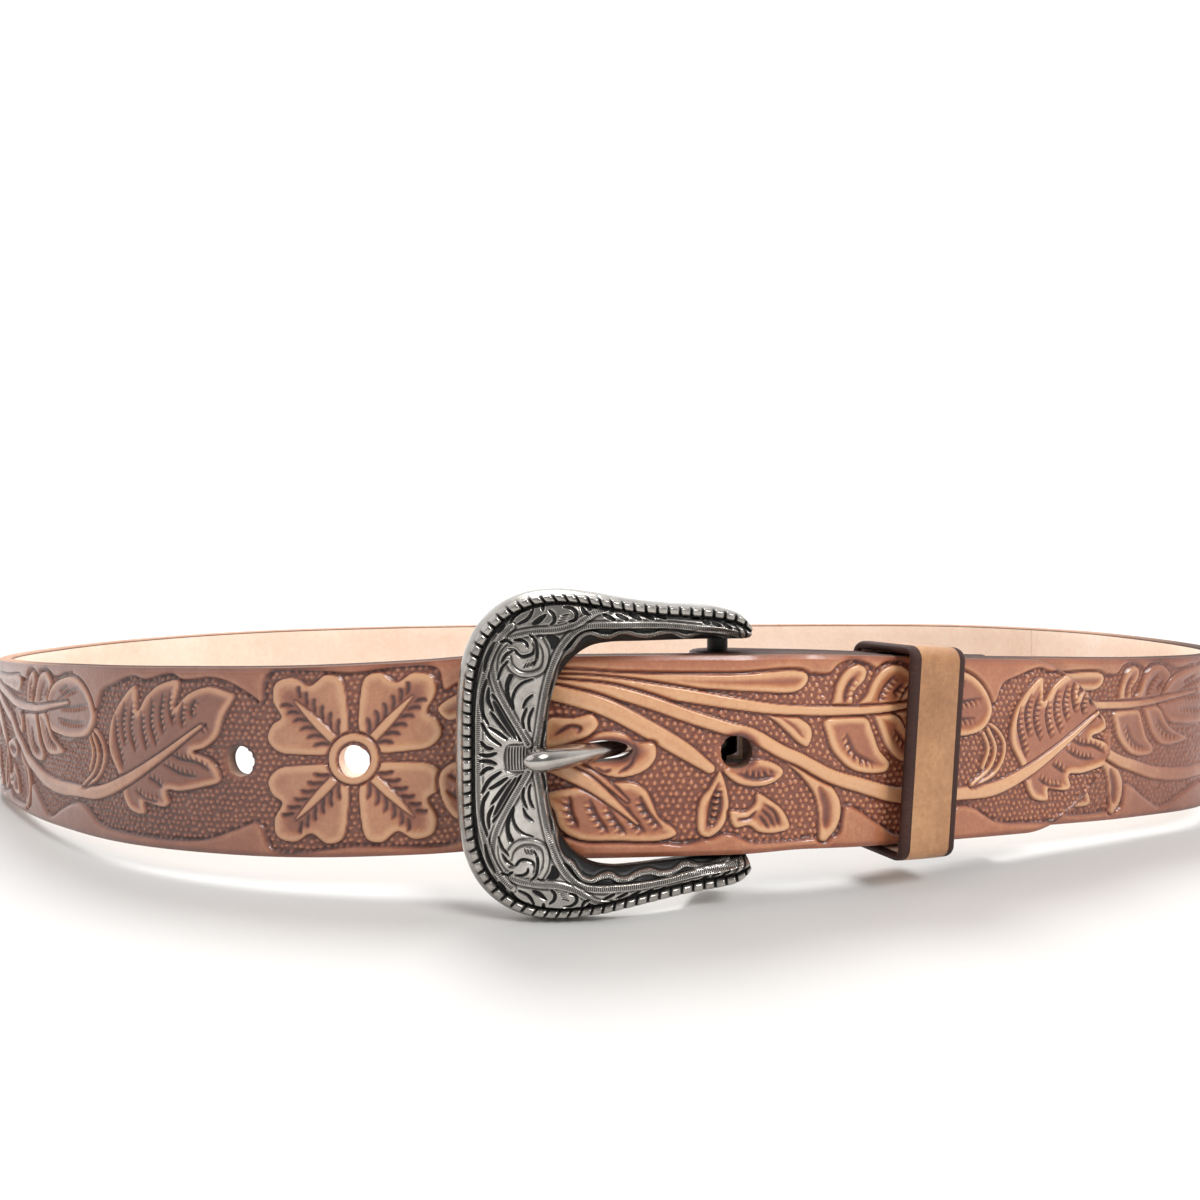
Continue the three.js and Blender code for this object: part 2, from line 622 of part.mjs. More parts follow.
// The keeper's own frame: X along the strap, Y inward, Z up, origin at the middle of its opening.
function makeKeeper() {
  const CORNER_SEGMENTS = 6;
  const wall = KEEPER_THICKNESS - KEEPER_BEVEL;
  const band = roundedRectangle(KEEPER_DEPTH + 2 * wall, KEEPER_HEIGHT + 2 * wall, KEEPER_CORNER);
  const outside = new THREE.ExtrudeGeometry(band, {
    depth: KEEPER_WIDTH - 2 * KEEPER_BEVEL,
    bevelSize: KEEPER_BEVEL,
    bevelThickness: KEEPER_BEVEL,
    bevelSegments: 2,
    curveSegments: CORNER_SEGMENTS,
  });
  outside.translate(0, 0, KEEPER_BEVEL - KEEPER_WIDTH / 2);
  const opening = roundedRectangle(KEEPER_DEPTH, KEEPER_HEIGHT, KEEPER_BEVEL);
  const throughLength = 2 * KEEPER_WIDTH;
  const inside = new THREE.ExtrudeGeometry(opening, {
    depth: throughLength,
    bevelEnabled: false,
    curveSegments: CORNER_SEGMENTS,
  });
  inside.translate(0, 0, -throughLength / 2);
  const shapeToStrap = new THREE.Matrix4().makeBasis(
    new THREE.Vector3(0, 1, 0),
    new THREE.Vector3(0, 0, 1),
    new THREE.Vector3(1, 0, 0),
  );
  return toGeometry(toSolid(outside, shapeToStrap).subtract(toSolid(inside, shapeToStrap)));
}

// A snap, turned about its own Y: the cap inside the belt, the head sunk in the outer layer.
function makeSnap() {
  const capBase = PAIR_FACE + SNAP_CLEARANCE;
  const head = [
    new THREE.Vector2(0, -PAIR_FACE),
    new THREE.Vector2(SNAP_HEAD_RADIUS, -PAIR_FACE),
    new THREE.Vector2(SNAP_HEAD_RADIUS, SNAP_HEAD_THICKNESS - PAIR_FACE),
    new THREE.Vector2(SNAP_POST_RADIUS, SNAP_HEAD_THICKNESS - PAIR_FACE),
    new THREE.Vector2(SNAP_POST_RADIUS, capBase),
  ];
  const cap = SNAP_DOME.map(
    (row) => new THREE.Vector2(row.radius * SNAP_CAP_RADIUS, capBase + row.height * SNAP_CAP_HEIGHT),
  );
  return new THREE.LatheGeometry([...head, ...cap], ROUND_SIDES);
}

const LEATHER = { color: 0x9a5a3c, roughness: 0.5, metalness: 0 };
const KEEPER_LEATHER = { color: 0xb98453, roughness: 0.55, metalness: 0 };
const SILVER = { color: 0xb4afa8, roughness: 0.28, metalness: 1 };

function named(name, geometry, look) {
  const mesh = new THREE.Mesh(geometry, new THREE.MeshStandardMaterial(look));
  mesh.name = name;
  return mesh;
}

const belt = new THREE.Group();
belt.add(named("strap", makeStrap(), LEATHER));

const bar = loopAt(0).point;
const roundEnd = loopAt(-BAND_MIDDLE).point;
const buckle = new THREE.Group();
buckle.position.copy(bar).setZ(BUCKLE_MIDDLE);
buckle.rotation.z = Math.atan2(bar.y - roundEnd.y, bar.x - roundEnd.x);
buckle.add(named("buckle_frame", makeBuckleFrame(), SILVER));
buckle.add(named("prong", makeProng(), SILVER));
belt.add(buckle);

const keeperOffset = PAIR_OFFSET + KEEPER_STANDOFF / 2;
const keeper = named("keeper", makeKeeper(), KEEPER_LEATHER);
keeper.applyMatrix4(strapFrame(KEEPER_FROM_BAR, keeperOffset, strapMiddle(KEEPER_FROM_BAR)));
belt.add(keeper);

SNAP_FROM_BAR.forEach((distance, i) => {
  const snap = named(`snap_${i + 1}`, makeSnap(), SILVER);
  snap.applyMatrix4(strapFrame(distance, 0, strapMiddle(distance)));
  belt.add(snap);
});

// The floor's centre under the belt becomes the origin.
const extent = new THREE.Box3().setFromObject(belt, true);
const middle = extent.getCenter(new THREE.Vector3());
belt.position.set(-middle.x, -middle.y, -extent.min.z);

export default belt;
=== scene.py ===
import math

import bmesh
import bpy
import numpy as np
from mathutils import Matrix, Vector
from mathutils.kdtree import KDTree


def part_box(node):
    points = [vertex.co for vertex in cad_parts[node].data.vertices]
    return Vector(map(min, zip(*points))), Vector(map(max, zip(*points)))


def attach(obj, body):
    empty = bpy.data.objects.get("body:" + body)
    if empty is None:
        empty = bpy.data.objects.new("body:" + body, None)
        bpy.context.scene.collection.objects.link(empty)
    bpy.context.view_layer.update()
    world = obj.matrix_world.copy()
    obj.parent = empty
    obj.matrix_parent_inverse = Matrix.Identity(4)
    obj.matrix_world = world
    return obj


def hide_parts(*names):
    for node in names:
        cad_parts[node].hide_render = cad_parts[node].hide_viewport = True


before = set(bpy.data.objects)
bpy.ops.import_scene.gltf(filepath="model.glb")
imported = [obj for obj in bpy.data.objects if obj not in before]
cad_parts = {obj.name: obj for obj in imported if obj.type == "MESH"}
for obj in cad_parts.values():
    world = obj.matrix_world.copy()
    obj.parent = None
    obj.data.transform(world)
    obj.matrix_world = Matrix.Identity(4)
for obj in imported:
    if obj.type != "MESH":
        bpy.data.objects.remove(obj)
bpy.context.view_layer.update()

# The belt is drawn in millimetres and turned into metres where a mesh is made. Noise scales and bump distances in
# the materials, the camera and the lights are in metres.
MM = 0.001
SEED = 11
dice = np.random.default_rng(SEED)

# The strap, as in the solids. Distances along the loop count from the buckle's bar, to the right.
STRAP_WIDTH = 38.0
STRAP_THICKNESS = 3.6
LAYER_GAP = 0.3
LOOP_HALF_WIDTH = 172.0
LOOP_DEPTH = 240.0
BAR_FROM_FRONT = 26.0
TAB_LENGTH = 66.0
FOLD_TAPER = 16.0
CROSSING_START = 50.0
CROSSING_END = 25.0
ARCH_HEIGHT = 1.2
BAR_RADIUS = 2.0
TIP_DISTANCE = 94.6
TIP_LENGTH = 24.0
TIP_END_HALF_WIDTH = 3.5
TIP_ROUNDNESS = 1.7
STRAP_DROP = 1.1
BUCKLE_MIDDLE = 30.0
WINDOW_REACH = 33.0
HALF_WIDTH = STRAP_WIDTH / 2
HALF_THICKNESS = STRAP_THICKNESS / 2
LAYER_STEP = STRAP_THICKNESS + LAYER_GAP
PAIR_OFFSET = LAYER_STEP / 2
FOLD_RADIUS = BAR_RADIUS + LAYER_GAP + HALF_THICKNESS
STRAP_LIFT = BUCKLE_MIDDLE - STRAP_DROP - HALF_WIDTH

# The loop in plan, as shares of its half width and depth, and how far it rises off the floor, as a share of the
# lift at the buckle, by the share of the way round.
LOOP_PLAN = [
    (0.0, 0.0), (0.15, 0.004), (0.285, 0.022), (0.43, 0.066), (0.585, 0.113), (0.74, 0.159),
    (0.875, 0.206), (0.965, 0.285), (1.0, 0.44), (0.965, 0.62), (0.8, 0.82), (0.45, 0.955),
    (0.0, 1.0), (-0.45, 0.955), (-0.8, 0.82), (-0.965, 0.63), (-1.0, 0.46), (-0.95, 0.334),
    (-0.85, 0.245), (-0.705, 0.146), (-0.55, 0.067), (-0.37, 0.02), (-0.175, 0.003),
]
LIFT = np.array([
    (-0.5, 0.0), (-0.26, 0.0), (-0.21, 0.1), (-0.17, 0.27), (-0.13, 0.46), (-0.1, 0.575),
    (-0.07, 0.67), (-0.045, 0.8), (-0.02, 0.98), (0.0, 1.0), (0.03, 0.97), (0.07, 0.76),
    (0.1, 0.62), (0.14, 0.48), (0.2, 0.43), (0.25, 0.42), (0.31, 0.34), (0.37, 0.17),
    (0.42, 0.05), (0.46, 0.0), (0.5, 0.0),
])


def full_or_quick(full):
    return full


def smooth(x, a, b):
    t = np.clip((np.asarray(x, float) - a) / (b - a), 0, 1)
    return t * t * (3 - 2 * t)


def curve_through(points, per_segment, closed=False):
    """Points on a centripetal curve through the given ones."""
    p = np.asarray(points, float)
    if closed:
        p = np.vstack([p[-1:], p, p[:2]])
    else:
        p = np.vstack([2 * p[:1] - p[1:2], p, 2 * p[-1:] - p[-2:-1]])
    t = np.arange(per_segment)[:, None] / per_segment
    out = []
    for a, b, c, d in zip(p[:-3], p[1:-2], p[2:-1], p[3:]):
        g0, g1, g2 = (max(1e-5, math.sqrt(np.linalg.norm(v - u))) for u, v in ((a, b), (b, c), (c, d)))
        m1 = ((b - a) / g0 - (c - a) / (g0 + g1) + (c - b) / g1) * g1
        m2 = ((c - b) / g1 - (d - b) / (g1 + g2) + (d - c) / g2) * g1
        out.append(b + m1 * t + (3 * (c - b) - 2 * m1 - m2) * t**2 + (2 * (b - c) + m1 + m2) * t**3)
    out.append(out[0][:1] if closed else p[-2:-1])
    return np.vstack(out)


def run_length(line):
    return np.concatenate([[0], np.cumsum(np.linalg.norm(np.diff(line, axis=0), axis=1))])


LOOP_CURVE = curve_through(np.array(LOOP_PLAN) * (LOOP_HALF_WIDTH, LOOP_DEPTH), 200, closed=True)
LOOP_RUN = run_length(LOOP_CURVE)
LOOP_LENGTH = LOOP_RUN[-1]
BACK_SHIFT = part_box("strap")[1].y / MM - (LOOP_DEPTH + PAIR_OFFSET + HALF_THICKNESS)


def loop_point(distance):
    s = np.mod(np.asarray(distance, float) + BAR_FROM_FRONT, LOOP_LENGTH)
    x = np.interp(s, LOOP_RUN, LOOP_CURVE[:, 0])
    y = np.interp(s, LOOP_RUN, LOOP_CURVE[:, 1]) + BACK_SHIFT
    return np.stack([x, y], -1)


def loop_outward(distance):
    d = np.asarray(distance, float)
    t = loop_point(d + 0.4) - loop_point(d - 0.4)
    t /= np.linalg.norm(t, axis=-1, keepdims=True)
    return np.stack([t[..., 1], -t[..., 0]], -1)


def strap_middle(distance):
    """The height of the strap's middle line, from the LIFT table without overshoot."""
    x, y = LIFT[:, 0], LIFT[:, 1]
    slope = np.diff(y) / np.diff(x)
    bend = np.zeros(len(x))
    both = slope[:-1] * slope[1:] > 0
    bend[1:-1][both] = (2 * slope[:-1] * slope[1:] / np.where(both, slope[:-1] + slope[1:], 1))[both]
    at = np.mod((np.asarray(distance, float) + WINDOW_REACH / 2) / LOOP_LENGTH + 0.5, 1) - 0.5
    i = np.clip(np.searchsorted(x, at, side="right") - 1, 0, len(x) - 2)
    w = x[i + 1] - x[i]
    t = (at - x[i]) / w
    lift = (y[i] * (1 + 2 * t) * (1 - t) ** 2 + y[i + 1] * t * t * (3 - 2 * t)
            + w * t * (1 - t) * (bend[i] * (1 - t) - bend[i + 1] * t))
    return STRAP_LIFT * lift + HALF_WIDTH


def bar_layer_offset(d):
    """How far outside the loop's line the layer that is folded round the bar lies."""
    return FOLD_RADIUS + (PAIR_OFFSET - FOLD_RADIUS) * smooth(d, 0, FOLD_TAPER)


def free_end_offset(d):
    """The same for the free end, which crosses the bar and lies on the bar layer."""
    d = np.asarray(d, float)
    rise = smooth(d, -CROSSING_START, -CROSSING_END)
    top = FOLD_RADIUS + LAYER_STEP + ARCH_HEIGHT * (1 - smooth(d, -CROSSING_END, 0))
    return np.where(d >= 0, bar_layer_offset(d) + LAYER_STEP, PAIR_OFFSET + (top - PAIR_OFFSET) * rise)


class Relief:
    """Heights (mm) and tones (0 light, 1 dark) over a flat pattern, drawn with outlines and cuts."""

    def __init__(self, x0, x1, y0, y1, cell):
        self.x0, self.y0, self.cell = x0, y0, cell
        self.x = np.arange(x0, x1 + cell, cell)
        self.y = np.arange(y0, y1 + cell, cell)
        shape = (len(self.y), len(self.x))
        self.height = np.zeros(shape)
        self.tone = np.zeros(shape)
        self.hatch = np.zeros(shape)
        self.run = np.zeros(shape)

    def window(self, line, margin):
        low, high = line.min(0) - margin, line.max(0) + margin
        i0, i1 = np.searchsorted(self.x, (low[0], high[0]))
        j0, j1 = np.searchsorted(self.y, (low[1], high[1]))
        if i1 <= i0 or j1 <= j0:
            return None, None, None
        gx, gy = np.meshgrid(self.x[i0:i1], self.y[j0:j1])
        return (slice(j0, j1), slice(i0, i1)), gx, gy

    @staticmethod
    def nearest(line, gx, gy):
        """Distance to a line, run length at its nearest point, and the side (left is positive)."""
        best = np.full(gx.shape, 1e9)
        run = np.zeros(gx.shape)
        side = np.ones(gx.shape)
        lengths = run_length(line)
        for k in range(len(line) - 1):
            ax, ay = line[k]
            dx, dy = line[k + 1] - line[k]
            span = dx * dx + dy * dy
            if span < 1e-12:
                continue
            t = np.clip(((gx - ax) * dx + (gy - ay) * dy) / span, 0, 1)
            ex, ey = gx - ax - t * dx, gy - ay - t * dy
            gap = ex * ex + ey * ey
            closer = gap < best
            best[closer] = gap[closer]
            run[closer] = (lengths[k] + t * math.sqrt(span))[closer]
            side[closer] = np.sign(dx * (gy - ay) - dy * (gx - ax))[closer]
        return np.sqrt(best), run, side

    @staticmethod
    def inside(line, gx, gy):
        """Whether each point lies inside a closed line."""
        odd = np.zeros(gx.shape, bool)
        for (ax, ay), (bx, by) in zip(line[:-1], line[1:]):
            if ay == by:
                continue
            crosses = ((ay > gy) != (by > gy)) & (gx < (bx - ax) * (gy - ay) / (by - ay) + ax)
            odd ^= crosses
        return odd

    def sample(self, field, x, y):
        i = np.clip((x - self.x0) / self.cell, 0, len(self.x) - 1.001)
        j = np.clip((y - self.y0) / self.cell, 0, len(self.y) - 1.001)
        i0, j0 = i.astype(int), j.astype(int)
        fi, fj = i - i0, j - j0
        return (field[j0, i0] * (1 - fi) * (1 - fj) + field[j0, i0 + 1] * fi * (1 - fj)
                + field[j0 + 1, i0] * (1 - fi) * fj + field[j0 + 1, i0 + 1] * fi * fj)


# The tooling repeats along the strap. Depths are in mm, and tones run from 0, light, to 1, dark.
PERIOD = 194.0
PATTERN_START = -152.0
PATTERN_SPARE = 16.0
CELL = 0.125
GROUND = -0.78
PLAIN = 0.38
PEBBLE_PITCH = 1.36
PEBBLE_ROW = PEBBLE_PITCH * 0.87
PEBBLE_RISE = 0.4
FIELD_GROOVE = 0.35
BEVEL_SLOPE, BEVEL_REACH = 1.3, 1.3
LEAF_TOP, STEM_TOP, STEM_HOLLOW = 0.08, 0.1, 0.06
TOOTH_PITCH, TOOTH_WIDTH = 1.3, 1.5
tooling = Relief(PATTERN_START, PATTERN_START + PERIOD + PATTERN_SPARE, -HALF_WIDTH, HALF_WIDTH, CELL)


def draw_ground(relief, outline):
    """Sinks the field inside the outline and covers it with rows of small pebbles."""
    gx, gy = np.meshgrid(relief.x, relief.y)
    depth = np.zeros(gx.shape)
    gap = np.full(gx.shape, 9.0)
    line = curve_through(outline, 6, closed=True)
    win, wx, wy = relief.window(line, 2.0)
    near, _, _ = relief.nearest(line, wx, wy)
    near = np.where(relief.inside(line, wx, wy), near, -near)
    depth[win] = smooth(near, -0.15, 0.5)
    gap[win] = np.where(np.abs(near) < np.abs(gap[win]), near, gap[win])
    cols = int((relief.x[-1] - relief.x[0]) / PEBBLE_PITCH) + 4
    rows = int((relief.y[-1] - relief.y[0]) / PEBBLE_ROW) + 4
    jitter = dice.uniform(-0.2, 0.2, (rows, cols, 2)) * PEBBLE_PITCH
    size = dice.uniform(0.4, 0.52, (rows, cols))
    row = np.round((gy - relief.y[0]) / PEBBLE_ROW).astype(int)
    dome = np.zeros(gx.shape)
    for dr in (-1, 0, 1):
        r = np.clip(row + dr, 0, rows - 1)
        shift = 0.5 * (r % 2)
        col = np.round((gx - relief.x[0]) / PEBBLE_PITCH - shift).astype(int)
        for dc in (-1, 0, 1):
            c = np.clip(col + dc, 0, cols - 1)
            cx = relief.x[0] + (c + shift) * PEBBLE_PITCH + jitter[r, c, 0]
            cy = relief.y[0] + r * PEBBLE_ROW + jitter[r, c, 1]
            share = 1 - ((gx - cx) ** 2 + (gy - cy) ** 2) / size[r, c] ** 2
            dome = np.maximum(dome, np.sqrt(np.clip(share, 0, 1)))
    groove = np.exp(-((gap - 0.15) / 0.42) ** 2)
    relief.height += depth * (GROUND + PEBBLE_RISE * dome)
    relief.height -= FIELD_GROOVE * groove
    relief.tone[:] = PLAIN + depth * (0.3 - 0.34 * dome**1.5) + 0.34 * groove * (1 - 0.4 * depth)


def raise_leaf(relief, outline, tone=0.06, cut=1.05, dish=0.34, hollow=0.44):
    """A raised, dished motif inside an outline, with a bevelled cut all round it."""
    draw_motif(relief, curve_through(outline, 8, closed=True), None, LEAF_TOP, tone, cut, dish, hollow)


def raise_band(relief, points, tone=0.04, cut=1.05):
    """A raised stem along points of (x, y, half width)."""
    p = curve_through(points, 8)
    draw_motif(relief, p[:, :2], p[:, 2], STEM_TOP, tone, cut, 0.0, STEM_HOLLOW)


def draw_motif(relief, line, half_widths, top, tone, cut, dish, hollow):
    """Draws a motif inside the line, or along it where it has half widths."""
    widest = 0 if half_widths is None else half_widths.max()
    win, gx, gy = relief.window(line, widest + BEVEL_REACH)
    if win is None:
        return
    near, run, _ = relief.nearest(line, gx, gy)
    if half_widths is None:
        inner = np.where(relief.inside(line, gx, gy), near, -near)
    else:
        inner = np.interp(run, run_length(line), half_widths) - near
    old, shade = relief.height[win], relief.tone[win]
    outer = np.minimum(old, -cut - BEVEL_SLOPE * inner)
    deep = np.clip(inner, 0, None)
    shoulder = top - 0.34 * np.exp(-deep / 0.34) - dish * smooth(deep, 0.6, 2.3)
    edge = smooth(inner, -0.1, 0.14)
    relief.height[win] = np.where(inner > -BEVEL_REACH, outer * (1 - edge) + shoulder * edge, old)
    dark = np.maximum(shade, 0.84 - np.clip(-inner, 0, None))
    light = tone + 0.4 * np.exp(-deep / 0.26) + hollow * smooth(deep, 0.5, 2.4)
    relief.tone[win] = np.where(inner > -BEVEL_REACH, dark * (1 - edge) + light * edge, shade)


def carve(relief, points, depth=0.42, half=0.42, tone=0.8, teeth=0.0, tooth_side=1):
    """A cut that tapers at both ends, with a row of stamped ridges along one side if asked."""
    line = curve_through(points, 8)
    total = run_length(line)[-1]
    win, gx, gy = relief.window(line, max(TOOTH_WIDTH + 0.5, 2 * half))
    if win is None:
        return
    near, run, side = relief.nearest(line, gx, gy)
    taper = np.sqrt(np.clip(np.minimum(run / (0.28 * total), (total - run) / (0.2 * total)), 0, 1))
    past_end = (run <= 0) | (run >= total)
    stroke = np.exp(-((near / (half * (0.35 + 0.65 * taper))) ** 2)) * (0.25 + 0.75 * taper)
    relief.height[win] -= depth * stroke
    relief.tone[win] += (tone - relief.tone[win]) * np.clip(stroke * 1.15, 0, 1)
    if teeth:
        ridge = 0.5 + 0.5 * np.cos(2 * math.pi * (run + 0.35 * near) / TOOTH_PITCH)
        body = np.where((side * tooth_side > 0) & ~past_end,
                        np.exp(-((near - 0.8) / (TOOTH_WIDTH * 0.34)) ** 2), 0) * taper
        relief.height[win] += teeth * body * (ridge - 0.6)
        relief.tone[win] = np.clip(relief.tone[win] + body * (0.34 - 0.66 * ridge**1.5), 0, 1)


def moved(points, dx, dy=0.0, sx=1, sy=1):
    """Points of (x, y), or of (x, y, half width), mirrored by the signs and then moved."""
    return [(dx + sx * x, dy + sy * y, *rest) for x, y, *rest in points]


FLOWER = (-70.5, 0.5)
RING_RADIUS, RING_HALF = 4.2, 0.85
HOOP_HALF = 0.5
PETAL = [(4.3, 1.2), (10, 1.0), (15.3, 1.7), (17.4, 4.2), (16.4, 7.0), (14.6, 8.4), (16.2, 11.8), (15.6, 15.2),
         (11.8, 16.2), (8.6, 14.6), (5.4, 16.6), (2.4, 15.8), (1.2, 11), (1.3, 4.6)]
LEAF_A = [(-126, -4), (-129, 1), (-128.7, 6), (-126, 10.5), (-120.2, 15), (-119.7, 9.8), (-117, 13), (-113, 15.5),
          (-108.2, 16), (-109.4, 10.8), (-106, 13.5), (-101, 15), (-96.5, 14), (-95, 13.3), (-97.5, 9), (-99, 5),
          (-102, 2.6), (-104.8, 1.7), (-101, 0.4), (-99, -1.5), (-98.5, -4), (-103, -5.5), (-108, -6.5),
          (-111.8, -6.7), (-111.2, -9), (-112.2, -10), (-117, -9.5), (-118, -9.4), (-118, -11.8), (-122, -11.5),
          (-124, -9.5), (-125, -6.5)]
LEAF_A_CUTS = [
    [(-126.5, 9), (-127, 5), (-125.5, 0), (-124.5, -2.5)], [(-123.5, 11.5), (-124.8, 7), (-123.8, 2)],
    [(-121, 12), (-122.3, 6), (-120.5, 1)], [(-118.5, 10), (-118.7, 6), (-117.3, 1.5)],
    [(-115.5, 12.5), (-116.3, 7.5), (-114.5, 2.5)], [(-112.5, 13.5), (-113.6, 9), (-112.6, 5)],
    [(-110.5, 14), (-111, 11), (-110, 7)], [(-107, 12), (-108, 9), (-107.5, 6.5)],
    [(-104, 12.5), (-105.5, 10.5), (-105, 8.5)], [(-101.5, 7.5), (-103.5, 6.5)],
    [(-112, 1.5), (-108, 0), (-104, -0.5), (-101, -2)], [(-113, -1), (-108, -3), (-104, -3.3)],
    [(-117, -4), (-113, -6)], [(-121, -7), (-118, -8.5), (-114, -9)],
]
# The sunk field round all the motifs.
FIELD = [
    (-152, 12), (-148, 15), (-140, 14.5), (-134, 9.5), (-131.5, 13.5), (-127, 15.3), (-121, 17), (-117.5, 16.3),
    (-110, 17.6), (-107.4, 16.4), (-100, 16.8), (-96, 15.8), (-91, 13.2), (-89, 12), (-88.5, 16), (-87, 18),
    (-78, 18), (-70.5, 17.3), (-62, 18), (-54, 17.2), (-52.6, 13), (-50, 14), (-44, 15), (-36, 14.8), (-28, 15.2),
    (-10, 14.6), (6, 14.2), (13.6, 14.4), (15.6, 15.2), (19.5, 15.2), (21.5, 17), (24, 18), (27.5, 17.2),
    (29, 16.4), (31, 17.6), (35, 18), (40, 16.2), (46, 17.2), (53, 17.2), (58, 14.8), (58, -14), (50, -12.2),
    (42, -14.5), (35, -17), (30, -14.5), (23, -10.7), (21.6, -16), (16, -16.8), (10, -17), (4, -16.6), (0, -14.8),
    (-3, -15.4), (-8, -16.6), (-13, -16), (-22, -15.2), (-30, -15.0), (-40, -15.4), (-50, -16.8), (-53.5, -17.4),
    (-70.5, -16.8), (-87, -17.5), (-90, -12.2), (-95, -13.6), (-102, -16), (-110, -16.8), (-125, -16.5),
    (-133, -15.6), (-140, -12.2), (-146, -12), (-152, -14),
]


def draw_tooling(relief):
    draw_ground(relief, FIELD)
    # The leaf with five lobes, and the stem that is its midrib.
    for shift in (0, PERIOD):
        raise_leaf(relief, moved(LEAF_A, shift))
        for cut in LEAF_A_CUTS:
            carve(relief, moved(cut, shift), teeth=0.5)
        stem = [(-149, -9.6, 1.6), (-144, -9.3, 1.4), (-134, -8.7, 1.5), (-124, -5.3, 1.3), (-114, 0, 0.9),
                (-103, 7, 0.45)]
        raise_band(relief, moved(stem, shift), cut=0.8)
        for arc in ([(-137.5, 5), (-134, 4.5), (-131, 1), (-131.5, -2.5), (-134, -5.5), (-139, -7.5)],
                    [(-135.5, 4), (-133.5, 0), (-135, -4), (-140, -7.5)],
                    [(-137, 3.5), (-135.5, 0), (-137, -4)]):
            raise_band(relief, [(x + shift, y, HOOP_HALF) for x, y in arc], cut=0.8)
    # The fern that ends the pattern, also where it starts again.
    for shift in (-PERIOD, 0):
        for lobe in ([(19.4, 6.5), (20.3, 10), (21, 13), (23, 16), (25.5, 17), (27, 16), (26.6, 14), (24.4, 11.5),
                      (24, 8.4)],
                     [(25, 8.6), (27, 11), (28.5, 14), (31, 16.5), (35, 17), (38, 14.2), (36, 11), (34.6, 8.6)],
                     [(34.5, 8.4), (35.5, 11), (38.5, 14), (45, 16), (52, 16), (57, 13), (59.5, 8), (57, 4),
                      (50, 2.5), (42, 2.7), (37, 3.6), (34, 6)],
                     [(29, 7.4), (30, 4), (32, 0.4), (35, -2), (40, -2.1), (44, -1), (38.5, 1.7), (36.4, 4), (34, 7)],
                     [(18.6, 6), (19, 3.5), (20.4, 0), (24, -3.4), (28, -4.4), (31.5, -4), (32.3, -2.4), (30, 0.2),
                      (28.4, 4), (27, 6.6)]):
            raise_leaf(relief, moved(lobe, shift))
        for cut in ([(24.6, 14.6), (23, 12), (22.6, 9.4)], [(33.5, 15), (31, 12.5), (29.5, 9.6)],
                    [(52, 14), (46, 12.6), (40, 10.4)], [(56.5, 10.5), (50, 9.6), (42, 9.2)],
                    [(55, 6.5), (48, 6), (41, 6.6)], [(41, -0.4), (36.5, 1.2), (33.4, 4.4)],
                    [(29, -2.4), (25, -0.4), (23, 3.6)], [(35.6, 13.4), (33, 11.4)], [(47, 14.4), (42, 12.6)]):
            carve(relief, moved(cut, shift), teeth=0.5)
        if shift:
            rib = [(6, 8.8, 0.9), (10, 8, 1.0), (20, 7.8, 0.9), (30, 8.3, 0.8), (38, 9.3, 0.6), (47, 10.3, 0.4)]
            raise_band(relief, moved(rib, shift), cut=0.8)
    # The flower: a ring, four split petals and four thorns between them.
    for signs in ((-1, -1), (-1, 1), (1, -1), (1, 1)):
        raise_leaf(relief, moved(PETAL, *FLOWER, *signs), cut=0.9, dish=0.16, hollow=0.18)
        carve(relief, moved([(3.4, 3.4), (8, 8), (13.4, 13.4)], *FLOWER, *signs), half=2.6, depth=0.3, tone=0.6)
        for b in (2.9, 4.5, 6.1, 7.7, 9.2, 10.6):
            cut = [(b + 1.3, b - 0.1), (b + 3.4, b + 0.25), (b + 5.6 - 0.16 * b, b - 0.2)]
            for half_petal in (cut, [(y, x) for x, y in cut]):
                carve(relief, moved(half_petal, *FLOWER, *signs), half=0.44, depth=0.5, tone=0.85)
        ray = [(4.1, 4.1, 0.95), (6.6, 6.6, 0.95), (9.4, 9.4, 0.65), (11.6, 11.6, 0.2)]
        raise_band(relief, moved(ray, *FLOWER, *signs), cut=0.75)
    ring = [(RING_RADIUS * math.cos(a), RING_RADIUS * math.sin(a), RING_HALF) for a in np.linspace(0, 2 * math.pi, 19)]
    raise_band(relief, moved(ring, *FLOWER), cut=0.9)
    # The stems that sweep down over the window, and what grows between them.
    raise_leaf(relief, [(-44, 15.6), (-28, 16.2), (-20, 15.6), (-10, 15.3), (0, 15.2), (15, 15.2), (15.2, 13.4),
                        (13, 11.6), (5, 11.8), (-2, 12.3), (-10, 12.8), (-20, 14.2), (-28, 15), (-44, 14.4)],
               tone=0.1)
    raise_leaf(relief, [(4, 9), (8, 6.6), (11, 4), (13.6, 1.7), (15.2, 1.0), (16.2, 2.6), (16, 4.8), (14, 6.4),
                        (11.2, 7.6), (8, 9.2)], dish=0.15, hollow=0.2)
    carve(relief, [(9.4, 7), (12.4, 5), (14.4, 2.8)], half=0.3, depth=0.25, tone=0.6)
    raise_band(relief, [(-44, 13.2, 1.2), (-28, 14.0, 1.3), (-20, 13.3, 1.3), (-10, 11.7, 1.3), (0, 9.9, 1.2),
                        (10, 8.3, 1.0), (20, 7.9, 0.9), (30, 8.3, 0.8), (38, 9.3, 0.6), (47, 10.3, 0.4)])
